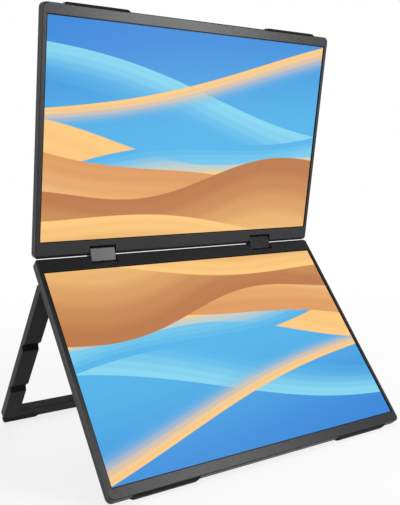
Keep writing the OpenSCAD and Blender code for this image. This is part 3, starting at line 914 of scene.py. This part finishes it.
MASK = SolderMask("Board green", Slot.BOARD)
FILM = LaminatedFilm("Ribbon amber", Slot.RIBBON)
GUIDE = DiffuserSheet("Light guide milky", Slot.GUIDE)
CONE = PerforatedCap("Speaker front", Slot.SPEAKER)


class Wardrobe:
    """Builds each finish once and hands it out."""

    def __init__(self) -> None:
        """Starts empty."""
        self._made: dict[str, bpy.types.Material] = {}

    def dress(self, piece: bpy.types.Object, finish: Finish) -> None:
        """Puts a finish on all of a piece.

        Args:
            piece: A CAD node or a new piece.
            finish: The finish.
        """
        if finish.name not in self._made:
            self._made[finish.name] = finish.material()
        if not piece.data.materials:
            piece.data.materials.append(None)
        for place in range(len(piece.data.materials)):
            piece.data.materials[place] = self._made[finish.name]
        LOG.info("%s: %s", piece.name, finish.name)


# ---------------------------------------------------------------- modelling

NEAR = 0.01 * MM  # a point this close to a plane lies on it
MERGE = 0.002 * MM  # points this close are one point
FACING = 0.9  # cosine from which a face looks along a direction
SQUARE = 0.99  # cosine from which a face is square to a direction
FLAT_ANGLE = math.radians(0.5)  # faces that meet at less are one face
ROUND_ANGLE = math.radians(28.0)  # edges that turn further are rounded
CRISP_ANGLE = math.radians(20.0)  # edges that turn further are shaded as edges
FLAT_WEIGHT = 90  # how strongly large faces keep flat shading
EDGE_SEGMENTS = 2  # steps in the rounding of a CAD copy's edges
ROUND_SEGMENTS = 3  # steps in the rounding of a new piece's edges


def choose_only(piece: bpy.types.Object) -> None:
    """Selects one object and makes it active.

    Args:
        piece: The object.
    """
    bpy.ops.object.select_all(action="DESELECT")
    piece.select_set(True)
    bpy.context.view_layer.objects.active = piece


@contextmanager
def editing(piece: bpy.types.Object) -> Iterator[None]:
    """Opens a piece in edit mode with nothing selected, and closes it after.

    Args:
        piece: The piece.

    Yields:
        Nothing.
    """
    choose_only(piece)
    bpy.ops.object.mode_set(mode="EDIT")
    bpy.ops.mesh.select_mode(type="FACE")
    bpy.ops.mesh.select_all(action="DESELECT")
    yield
    bpy.ops.object.mode_set(mode="OBJECT")


def pick_faces(piece: bpy.types.Object, test: Callable[[Vector], bool]) -> None:
    """Selects faces in edit mode.

    Args:
        piece: The piece in edit mode.
        test: Says from a face's normal whether it is wanted.
    """
    bpy.ops.mesh.select_mode(type="FACE")
    mesh = bmesh.from_edit_mesh(piece.data)
    mesh.normal_update()
    for face in mesh.faces:
        face.select_set(test(face.normal))
    bmesh.update_edit_mesh(piece.data)


def pick_edges(piece: bpy.types.Object, test: Callable[[Vector], bool]) -> None:
    """Selects edges in edit mode.

    Args:
        piece: The piece in edit mode.
        test: Says from an edge's middle whether it is wanted.
    """
    bpy.ops.mesh.select_mode(type="EDGE")
    mesh = bmesh.from_edit_mesh(piece.data)
    for edge in mesh.edges:
        first, second = (vertex.co for vertex in edge.verts)
        edge.select_set(test((first + second) / 2))
    bmesh.update_edit_mesh(piece.data)


def use_modifier(piece: bpy.types.Object, kind: str, **settings: object) -> None:
    """Adds one modifier and applies it.

    Args:
        piece: The piece.
        kind: The modifier's type.
        **settings: Its properties.
    """
    choose_only(piece)
    modifier = piece.modifiers.new(kind.title(), kind)
    for key, setting in settings.items():
        setattr(modifier, key, setting)
    bpy.ops.object.modifier_apply(modifier=modifier.name)


def smooth(piece: bpy.types.Object) -> None:
    """Shades curves smooth, and keeps flats flat and edges crisp.

    Args:
        piece: The piece.
    """
    choose_only(piece)
    bpy.ops.object.shade_smooth_by_angle(angle=CRISP_ANGLE)
    use_modifier(piece, "WEIGHTED_NORMAL", mode="FACE_AREA", weight=FLAT_WEIGHT, keep_sharp=True)


def settle(piece: bpy.types.Object, place: Matrix) -> None:
    """Moves a piece's mesh to its place, and leaves its object at the origin.

    Args:
        piece: The piece.
        place: The shift and turn to its place.
    """
    piece.data.transform(place @ piece.matrix_world)
    piece.matrix_world = Matrix.Identity(4)
    piece.data.update()


def slab(size: Triple, middle: Triple = (0.0, 0.0, 0.0), turn: float = 0.0) -> bpy.types.Object:
    """Adds a settled slab, the start of a piece.

    Args:
        size: Its size along x, y and z, in metres.
        middle: Its middle, in metres.
        turn: Its turn about z, in degrees.

    Returns:
        The slab.
    """
    bpy.ops.object.select_all(action="DESELECT")
    bpy.ops.mesh.primitive_cube_add(size=1, location=middle, rotation=(0, 0, math.radians(turn)))
    piece = bpy.context.object
    piece.scale = size
    bpy.context.view_layer.update()
    settle(piece, Matrix.Identity(4))
    return piece


def round_picked(offset: float) -> None:
    """Rounds the edges that are selected in edit mode, by an offset in millimetres."""
    bpy.ops.mesh.bevel(offset=offset * MM, segments=ROUND_SEGMENTS, affect="EDGES")


def joined(pieces: Sequence[bpy.types.Object], name: str) -> bpy.types.Object:
    """Joins settled pieces into one.

    Args:
        pieces: The pieces, each settled.
        name: Name of the whole.

    Returns:
        The whole.
    """
    bpy.ops.object.select_all(action="DESELECT")
    for piece in pieces:
        piece.select_set(True)
    bpy.context.view_layer.objects.active = pieces[0]
    bpy.ops.object.join()
    pieces[0].name = name
    pieces[0].data.name = name
    return pieces[0]


def duplicate(piece: bpy.types.Object, name: str) -> bpy.types.Object:
    """Copies an object with a mesh of its own and none of its frame marks.

    Args:
        piece: The object.
        name: Name of the copy.

    Returns:
        The copy.
    """
    copy = piece.copy()
    copy.data = piece.data.copy()
    copy.name = copy.data.name = name
    copy.parent = None
    for key in list(copy.keys()):
        if key.startswith("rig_"):
            del copy[key]
    bpy.context.scene.collection.objects.link(copy)
    return copy


# ---------------------------------------------------------------- small pieces


@dataclass
class Screw:
    """Flat-topped screw with a cross recess, with its sizes in millimetres.

    Attributes:
        length: Length from the head's face to the tip.
        head_radius: Radius of the head.
        head_height: Height of the head.
        shank_radius: Radius of the shank.
        rim: Rounding of the head's edge.
        slot_width: Width of the cross.
        slot_length: Length of the cross.
        slot_depth: Depth of the cross.
        slot_taper: Size of the cross at its floor, as shares along x and y.
        sides: Sides of its round outline.
    """

    length: float
    head_radius: float = 2.6
    head_height: float = 1.1
    shank_radius: float = 1.3
    rim: float = 0.35
    slot_width: float = 0.75
    slot_length: float = 3.2
    slot_depth: float = 0.7
    slot_taper: Span = (0.55, 0.8)
    sides: int = 40

    def model(self) -> bpy.types.Object:
        """Models one screw along +Z from the face of its head.

        Returns:
            The screw, with the face of its head at z = 0.
        """
        bpy.ops.object.select_all(action="DESELECT")
        bpy.ops.mesh.primitive_cylinder_add(
            vertices=self.sides,
            radius=self.head_radius * MM,
            depth=self.head_height * MM,
            location=(0, 0, self.head_height / 2 * MM),
        )
        screw = bpy.context.object
        settle(screw, Matrix.Identity(4))
        with editing(screw):
            pick_faces(screw, lambda normal: normal.z > FACING)
            bpy.ops.mesh.inset(thickness=(self.head_radius - self.shank_radius) * MM)
            bpy.ops.mesh.extrude_region_move(
                TRANSFORM_OT_translate={"value": (0, 0, (self.length - self.head_height) * MM)}
            )
            pick_edges(screw, lambda middle: middle.z < NEAR)
            round_picked(self.rim)
        for turn in (0.0, 90.0):
            self._cut(screw, turn)
        smooth(screw)
        return screw

    def _cut(self, screw: bpy.types.Object, turn: float) -> None:
        """Cuts one bar of the cross.

        Args:
            screw: The screw to cut into.
            turn: Turn of the bar in degrees.
        """
        cutter = slab((self.slot_length * MM, self.slot_width * MM, 2 * self.slot_depth * MM), turn=turn)
        with editing(cutter):
            pick_faces(cutter, lambda normal: normal.z > FACING)
            bpy.ops.transform.resize(value=(*self.slot_taper, 1))
        use_modifier(screw, "BOOLEAN", operation="DIFFERENCE", object=cutter, solver="EXACT")
        bpy.data.objects.remove(cutter)


@dataclass
class ContactTongue:
    """Contact tongue inside a socket, with its tip towards -X and its sizes in millimetres.

    Attributes:
        length: Length along x.
        width: Width along y.
        thickness: Thickness along z.
        tip: Rounding of its tip.
        margin: Plain border round its sunk contact faces.
        sink: Depth of the contact faces.
    """

    length: float = 5.2
    width: float = 6.6
    thickness: float = 0.7
    tip: float = 0.25
    margin: float = 0.35
    sink: float = 0.08

    def model(self) -> bpy.types.Object:
        """Models the tongue with a rounded tip and sunk contact faces.

        Returns:
            The tongue, with its root at x = 0.
        """
        size = (self.length * MM, self.width * MM, self.thickness * MM)
        tongue = slab(size, (-self.length / 2 * MM, 0, 0))
        with editing(tongue):
            pick_edges(tongue, lambda middle: middle.x < NEAR - self.length * MM)
            round_picked(self.tip)
            pick_faces(tongue, lambda normal: abs(normal.z) > FACING)
            bpy.ops.mesh.inset(thickness=self.margin * MM, use_individual=True)
            bpy.ops.mesh.extrude_region_shrink_fatten(TRANSFORM_OT_shrink_fatten={"value": -self.sink * MM})
        smooth(tongue)
        return tongue


@dataclass
class NotchShadeStrip:
    """Black rubber strip on the floor of a hinge notch, as painted shade in the notch, with its sizes in
    millimetres.

    Attributes:
        height: How far it stands proud of the floor.
        width: Its width through the module.
        rounding: Rounding of its free edges.
    """

    height: float = 1.3
    width: float = 8.6
    rounding: float = 0.35

    def model(self, low: float, high: float, floor: float) -> bpy.types.Object:
        """Models the strip in its module's own frame.

        Args:
            low: Where it starts along x, in metres.
            high: Where it ends along x, in metres.
            floor: Distance of the notch's floor from the hinge axis, in metres.

        Returns:
            The strip.
        """
        crest = floor - self.height * MM
        strip = slab((high - low, floor - crest, self.width * MM), ((low + high) / 2, (floor + crest) / 2, 0))
        with editing(strip):
            pick_edges(strip, lambda middle: middle.y < crest + NEAR)
            round_picked(self.rounding)
        smooth(strip)
        return strip


# ---------------------------------------------------------------- sub-assemblies


@dataclass
class SubAssembly:
    """A part of the object that is dressed and gets new pieces.

    Attributes:
        wardrobe: Where finishes are kept.
    """

    wardrobe: Wardrobe

    def build(self) -> list[bpy.types.Object]:
        """Dresses the CAD nodes and hands back the new pieces."""
        raise NotImplementedError

    def enter(self, piece: bpy.types.Object, body: str, finish: Finish, *replaced: str) -> bpy.types.Object:
        """Dresses a finished piece and lets it ride a body.

        Args:
            piece: The piece, settled.
            body: The body.
            finish: Its finish.
            *replaced: CAD nodes that it stands for.

        Returns:
            The piece.
        """
        self.wardrobe.dress(piece, finish)
        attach(piece, body)
        if replaced:
            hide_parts(*replaced)
        return piece

    def soft_edged(self, node: str, body: str, finish: Finish, width: float) -> bpy.types.Object:
        """Stands a copy with rounded edges in for a CAD node.

        Args:
            node: The CAD node.
            body: The body that it rides.
            finish: Its finish.
            width: Width of the rounding in millimetres.

        Returns:
            The new piece.
        """
        piece = duplicate(frame["nodes"][node], node + "_soft")
        with editing(piece):
            bpy.ops.mesh.select_all(action="SELECT")
            bpy.ops.mesh.remove_doubles(threshold=MERGE)
            bpy.ops.mesh.dissolve_limited(angle_limit=FLAT_ANGLE)
        use_modifier(
            piece,
            "BEVEL",
            width=width * MM,
            segments=EDGE_SEGMENTS,
            limit_method="ANGLE",
            angle_limit=ROUND_ANGLE,
            use_clamp_overlap=True,
            miter_outer="MITER_ARC",
        )
        smooth(piece)
        return self.enter(piece, body, finish, node)


class Side(Enum):
    """Which of the two display modules."""

    UPPER = "upper"
    LOWER = "lower"


MODULE_FINISHES: dict[str, Finish] = {
    "light_guide": GUIDE,
    "lcd_tray": TRAY,
    "column_board": MASK,
    "panel_flex": FILM,
    "driver_board": MASK,
    "board_chips": CHIP,
    "usb_c_sockets": SHELL,
    "hdmi_socket": SHELL,
    "switches": CHIP,
    "speakers": CONE,
    "hinge_brackets": STEEL,
    "hinge_shafts": STEEL,
    "friction_washers": STEEL,
    "hinge_nuts": STEEL,
    "cover_screws": SCREW,
    "bezel": BEZEL,
    "back_cover": COVER,
    "rear_housing": COVER,
    "edge_feet": RUBBER,
    "power_button": BUTTON,
    "menu_button": BUTTON,
}


@dataclass
class DisplayModule(SubAssembly):
    """One display module, with its sizes in millimetres.

    Its own frame has x along the hinge axis, y towards the outer edge and z out of the glass.

    Attributes:
        side: Which module it is.
        axis: A point on the module's hinge axis, in metres.
        active_width: Width of the lit picture.
        active_height: Height of the lit picture.
        active_start: Distance of the picture from the hinge axis.
        notch_reach: Depth within which the floor of a hinge notch lies.
        screw_reach: Distance within which points belong to one screw.
        data_reach: Distance within which points belong to one data socket.
        video_reach: Distance within which points belong to the video socket.
        tongue_inset: How far the root of a tongue lies inside the back of its socket.
        screw_turn: Turn of the first screw's cross, in degrees.
        screw_step: Turn from one screw's cross to the next, in degrees.
        bezel_rounding: Rounding of the bezel's edges.
        cover_rounding: Rounding of the back cover's edges.
        housing_rounding: Rounding of the rear housing's edges.
        feet_rounding: Rounding of the rubber feet.
        button_rounding: Rounding of the buttons.
    """

    side: Side
    axis: Vector
    active_width: float = 344.7
    active_height: float = 215.4
    active_start: float = 12.8
    notch_reach: float = 8.0
    screw_reach: float = 6.0
    data_reach: float = 10.0
    video_reach: float = 20.0
    tongue_inset: float = 0.6
    screw_turn: float = 17.0
    screw_step: float = 47.0
    bezel_rounding: float = 0.22
    cover_rounding: float = 0.15
    housing_rounding: float = 0.25
    feet_rounding: float = 0.3
    button_rounding: float = 0.15

    @property
    def body(self) -> str:
        """The body that most of the module rides."""
        return self.named("display")

    @cached_property
    def place(self) -> Matrix:
        """The module's place in the whole object.

        Returns:
            The shift and turn from its own frame, found from the side that the glass faces.
        """
        ahead = (face for face in self.node("lcd_glass").data.polygons if face.normal.y < 0)
        front = max(ahead, key=lambda face: face.area).normal
        tilt = Matrix.Rotation(math.atan2(-front.y, front.z), 4, "X")
        flip = Matrix.Rotation(math.pi if self.side is Side.LOWER else 0.0, 4, "Z")
        return Matrix.Translation(self.axis) @ tilt @ flip

    def named(self, name: str) -> str:
        """A name with the module's side before it."""
        return f"{self.side.value}_{name}"

    def node(self, name: str) -> bpy.types.Object:
        """One of the module's CAD nodes."""
        return frame["nodes"][self.named(name)]

    def picture(self) -> LitPicture:
        """Works out the finish of its glass.

        Returns:
            The lit picture, set on the glass.
        """
        turn = self.place.to_3x3()
        corner = self.place @ Vector((-self.active_width / 2 * MM, self.active_start * MM, 0.0))
        across = turn @ X_AXIS / (self.active_width * MM)
        upward = turn @ Y_AXIS / (self.active_height * MM)
        return LitPicture(f"Lit glass {self.side.value}", Slot.DISPLAY, corner, across, upward)

    def dress(self) -> None:
        """Gives every CAD node of the module its finish."""
        self.wardrobe.dress(self.node("lcd_glass"), self.picture())
        for name, finish in MODULE_FINISHES.items():
            self.wardrobe.dress(self.node(name), finish)

    def soften(self) -> list[bpy.types.Object]:
        """Rounds the edges that show.

        Returns:
            The rounded copies.
        """
        button = self.button_rounding
        return [
            self.soft_edged(self.named(name), body, MODULE_FINISHES[name], rounding)
            for name, body, rounding in (
                ("bezel", self.body, self.bezel_rounding),
                ("back_cover", self.body, self.cover_rounding),
                ("rear_housing", self.body, self.housing_rounding),
                ("edge_feet", self.body, self.feet_rounding),
                ("power_button", self.named("power_button_body"), button),
                ("menu_button", self.named("menu_button_body"), button),
            )
        ]

    def islands(self, name: str, reach: float) -> list[Corners]:
        """Finds the separate solids of a node.

        Args:
            name: The node.
            reach: Largest distance in the module's plane from a solid's first point, in millimetres.

        Returns:
            The lowest and highest corner of each, in the module's own frame.
        """
        back = self.place.inverted()
        groups: list[list[Vector]] = []
        for vertex in self.node(name).data.vertices:
            point = back @ vertex.co
            for group in groups:
                if (group[0].xy - point.xy).length < reach * MM:
                    group.append(point)
                    break
            else:
                groups.append([point])
        return [tuple(Vector(map(pick, zip(*group))) for pick in (min, max)) for group in groups]

    def fit_screws(self) -> bpy.types.Object:
        """Puts a real screw wherever the CAD has a plain one.

        Returns:
            All the module's screws as one piece.
        """
        spots = self.islands("cover_screws", self.screw_reach)
        head, tip = (corner.z for corner in spots[0])
        model = Screw((tip - head) / MM).model()
        copies = []
        for count, (low, high) in enumerate(spots):
            copy = duplicate(model, "screw")
            seat = Matrix.Translation((*((low + high) / 2).xy, low.z))
            turn = Matrix.Rotation(math.radians(self.screw_turn + self.screw_step * count), 4, "Z")
            settle(copy, self.place @ seat @ turn)
            copies.append(copy)
        bpy.data.objects.remove(model)
        whole = joined(copies, self.named("cross_screws"))
        return self.enter(whole, self.body, SCREW, self.named("cover_screws"))

    def fit_tongues(self) -> bpy.types.Object:
        """Puts a contact tongue into each socket.

        Returns:
            The module's tongues as one piece.
        """
        wide = ContactTongue(length=5.0, width=8.6, thickness=0.6)
        sockets = [(spot, ContactTongue()) for spot in self.islands("usb_c_sockets", self.data_reach)]
        sockets += [(spot, wide) for spot in self.islands("hdmi_socket", self.video_reach)]
        tongues = []
        for (low, high), tongue in sockets:
            piece = tongue.model()
            root = Vector((high.x - self.tongue_inset * MM, *((low + high) / 2).yz))
            settle(piece, self.place @ Matrix.Translation(root))
            tongues.append(piece)
        whole = joined(tongues, self.named("contact_tongues"))
        return self.enter(whole, self.body, TONGUE)

    def notches(self) -> list[Triple]:
        """Finds the hinge notches in the bezel.

        Returns:
            The start and end along x and the distance of the floor from the hinge
            axis of each, in the module's own frame.
        """
        back = self.place.inverted()
        turn = back.to_3x3()
        mesh = self.node("bezel").data
        found: dict[bool, list[Vector]] = {}
        for face in mesh.polygons:
            centre = back @ face.center
            if (turn @ face.normal).y < -SQUARE and 0.0 < centre.y < self.notch_reach * MM:
                points = [back @ mesh.vertices[place].co for place in face.vertices]
                found.setdefault(centre.x > 0, []).extend(points)
        return [
            (min(point.x for point in points), max(point.x for point in points), points[0].y)
            for points in found.values()
        ]

    def fit_shade_strips(self) -> bpy.types.Object:
        """Lays a black rubber strip on the floor of each hinge notch, as painted shade in the notch.

        Returns:
            The module's shade strips as one piece.
        """
        # Each strip is a dark piece that paints the shade in its notch.
        strips = [NotchShadeStrip().model(*notch) for notch in self.notches()]
        for strip in strips:
            settle(strip, self.place)
        return self.enter(joined(strips, self.named("notch_shade_strips")), self.body, RUBBER)

    def build(self) -> list[bpy.types.Object]:
        """Dresses the module and fits its new pieces.

        Returns:
            The new pieces.
        """
        self.dress()
        return [*self.soften(), self.fit_screws(), self.fit_tongues(), self.fit_shade_strips()]


@dataclass
class HingeBlocks(SubAssembly):
    """The two painted blocks between the modules.

    Attributes:
        rounding: Rounding of their end edges in millimetres.
    """

    rounding: float = 0.45

    def build(self) -> list[bpy.types.Object]:
        """Dresses both blocks and rounds their edges.

        Returns:
            The new pieces.
        """
        made = []
        for node in ("left_hinge_block", "right_hinge_block"):
            self.wardrobe.dress(frame["nodes"][node], BLOCK)
            made.append(self.soft_edged(node, "hinge_link", BLOCK, self.rounding))
        return made


@dataclass
class Kickstand(SubAssembly):
    """The U-shaped stand with its pads, pins and washers.

    Attributes:
        rounding: Rounding of the frame's edges in millimetres.
        pad_rounding: Rounding of the pads in millimetres.
    """

    rounding: float = 0.3
    pad_rounding: float = 0.5

    def build(self) -> list[bpy.types.Object]:
        """Dresses the stand and rounds its edges.

        Returns:
            The new pieces.
        """
        for node, finish in (
            ("stand_frame", STAND),
            ("stand_pads", RUBBER),
            # Black rubber linings on the groove floors; their black is partly painted shade for the deep
            # grooves.
            ("groove_linings", RUBBER),
            ("stand_pins", STEEL),
            ("stand_washers", STEEL),
        ):
            self.wardrobe.dress(frame["nodes"][node], finish)
        return [
            self.soft_edged("stand_frame", "kickstand", STAND, self.rounding),
            self.soft_edged("stand_pads", "kickstand", RUBBER, self.pad_rounding),
        ]


# ---------------------------------------------------------------- studio


@dataclass
class SoftBox:
    """A rectangular lamp that looks at a point, with its sizes in metres.

    Attributes:
        name: Its name.
        spot: Where it hangs.
        size: Its width and height.
        power: Its power in watts.
    """

    name: str
    spot: Triple
    size: Span
    power: float

    def hang(self, target: Vector) -> None:
        """Hangs the lamp and turns it.

        Args:
            target: The point that it looks at.
        """
        data = bpy.data.lights.new(self.name, "AREA")
        data.shape = "RECTANGLE"
        data.size, data.size_y = self.size
        data.energy = self.power
        lamp = bpy.data.objects.new(self.name, data)
        lamp.location = self.spot
        lamp.rotation_euler = (target - Vector(self.spot)).to_track_quat("-Z", "Y").to_euler()
        lamp.visible_camera = False
        bpy.context.scene.collection.objects.link(lamp)


@dataclass
class Studio:
    """Floor, light and camera, with sizes in metres.

    Attributes:
        lamps: The soft boxes.
        lamp_aim: The point that they look at.
        floor_size: Side of the floor.
        floor_colour: Colour that the light on the floor meets.
        floor_glow: How far the floor shows as plain white near the object.
        floor_fade: Distances where the floor starts to turn and is all white.
        horizon: Heights of view, as sines, where the white horizon ends and the ceiling starts.
        ceiling_dim: How much dimmer the ceiling is than the horizon.
        fill: Strength of the light from all round.
        camera_spot: Where the camera stands.
        camera_turn: Its turn in degrees.
        camera_reach: Nearest and farthest distance that it sees.
        sensor: Width of its sensor in millimetres.
        lens: Its focal length in millimetres.
        shift: Shift of the frame.
    """

    lamps: tuple[SoftBox, ...] = (
        SoftBox("Key", (0.72, -1.28, 0.512), (0.46, 1.1), 15.0),
        SoftBox("Brow", (0.66, -0.93, 1.08), (0.6, 0.5), 3.4),
        SoftBox("Overhead", (0.42, 0.2, 1.4), (0.4, 0.4), 5.5),
        SoftBox("Left", (-2.1, -0.2, 0.9), (1.2, 1.2), 10.0),
        SoftBox("Rear", (0.6, 2.2, 1.2), (1.6, 1.2), 16.0),
    )
    lamp_aim: Triple = (0.0, 0.0, 0.22)
    floor_size: float = 12.0
    floor_colour: Colour = (0.8, 0.8, 0.8)
    floor_glow: float = 0.8
    floor_fade: Span = (0.35, 1.1)
    horizon: Span = (0.3, 0.8)
    ceiling_dim: float = 0.88
    fill: float = 0.4
    camera_spot: Triple = (-0.44163, -0.66418, 0.26974)
    camera_turn: Triple = (85.368, 0.9772, -33.6425)
    camera_reach: Span = (0.01, 50.0)
    sensor: float = 36.0
    lens: float = 51.773
    shift: Span = (0.01669, -0.02092)

    def build(self) -> None:
        """Sets the studio up round the object."""
        bpy.context.scene.view_settings.view_transform = "Standard"
        self._floor()
        self._world()
        for lamp in self.lamps:
            lamp.hang(Vector(self.lamp_aim))
        self._camera()

    def _floor(self) -> None:
        """Lays a pale floor that fades into the white background."""
        bpy.ops.object.select_all(action="DESELECT")
        bpy.ops.mesh.primitive_plane_add(size=self.floor_size)
        floor = bpy.context.object
        floor.name = "Floor"
        made = bpy.data.materials.new("Pale floor")
        made.use_nodes = True
        graph = Graph(made.node_tree)
        distance = graph.node("ShaderNodeVectorMath", {"operation": "LENGTH"}, {0: graph.place()}, "Value")
        far = distance.rise(*self.floor_fade)
        glow_share = self._seen(graph) * (self.floor_glow + far * (1.0 - self.floor_glow))
        matt = graph.node("ShaderNodeBsdfDiffuse", None, {"Color": (*self.floor_colour, 1.0)})
        glow = graph.node("ShaderNodeEmission", None, {"Color": WHITE, "Strength": 1.0})
        surface = graph.node("ShaderNodeMixShader", None, {0: glow_share, 1: matt, 2: glow})
        graph.node("ShaderNodeOutputMaterial", None, {"Surface": surface})
        floor.data.materials.append(made)

    @staticmethod
    def _seen(graph: Graph) -> Value:
        """Tells rays that see the background from those that only light the object.

        Args:
            graph: The graph.

        Returns:
            1 for rays from the camera or through gloss and glass, 0 for the rest.
        """
        camera = graph.node("ShaderNodeLightPath", output="Is Camera Ray")
        total = camera + camera.sibling("Is Glossy Ray") + camera.sibling("Is Transmission Ray")
        return total.rise(0.0, 1.0)

    def _world(self) -> None:
        """Makes a white horizon under a dimmer ceiling, over a softer fill."""
        world = bpy.data.worlds.new("Studio")
        world.use_nodes = True
        bpy.context.scene.world = world
        graph = Graph(world.node_tree)
        view = graph.node("ShaderNodeTexCoord", output="Generated")
        climb = graph.along(view, Z_AXIS).rise(*self.horizon)
        ahead = 1.0 - climb * self.ceiling_dim
        fill, white = (
            graph.node("ShaderNodeBackground", None, {"Color": WHITE, "Strength": strength})
            for strength in (self.fill, ahead)
        )
        mix = graph.node("ShaderNodeMixShader", None, {0: self._seen(graph), 1: fill, 2: white})
        graph.node("ShaderNodeOutputWorld", None, {"Surface": mix})

    def _camera(self) -> None:
        """Stands the camera up."""
        data = bpy.data.cameras.new("Camera")
        data.lens, data.sensor_width = self.lens, self.sensor
        data.shift_x, data.shift_y = self.shift
        data.clip_start, data.clip_end = self.camera_reach
        camera = bpy.data.objects.new("Camera", data)
        camera.location = self.camera_spot
        camera.rotation_euler = Euler([math.radians(part) for part in self.camera_turn])
        bpy.context.scene.collection.objects.link(camera)
        bpy.context.scene.camera = camera


def main() -> None:
    """Builds the sub-assemblies in order and reports their pieces, then sets up the studio."""
    logging.basicConfig(level=logging.INFO, format="%(message)s")
    axes = {joint["name"]: Vector(joint["pos_m"]) for joint in frame["joints"] if "pos_m" in joint}
    wardrobe = Wardrobe()
    for part in (
        DisplayModule(wardrobe, Side.UPPER, axes["upper_hinge_axis"]),
        DisplayModule(wardrobe, Side.LOWER, axes["lower_hinge_axis"]),
        HingeBlocks(wardrobe),
        Kickstand(wardrobe),
    ):
        for piece in part.build():
            LOG.info("%s: %d faces", piece.name, len(piece.data.polygons))
    Studio().build()


if __name__ == "__main__":
    main()
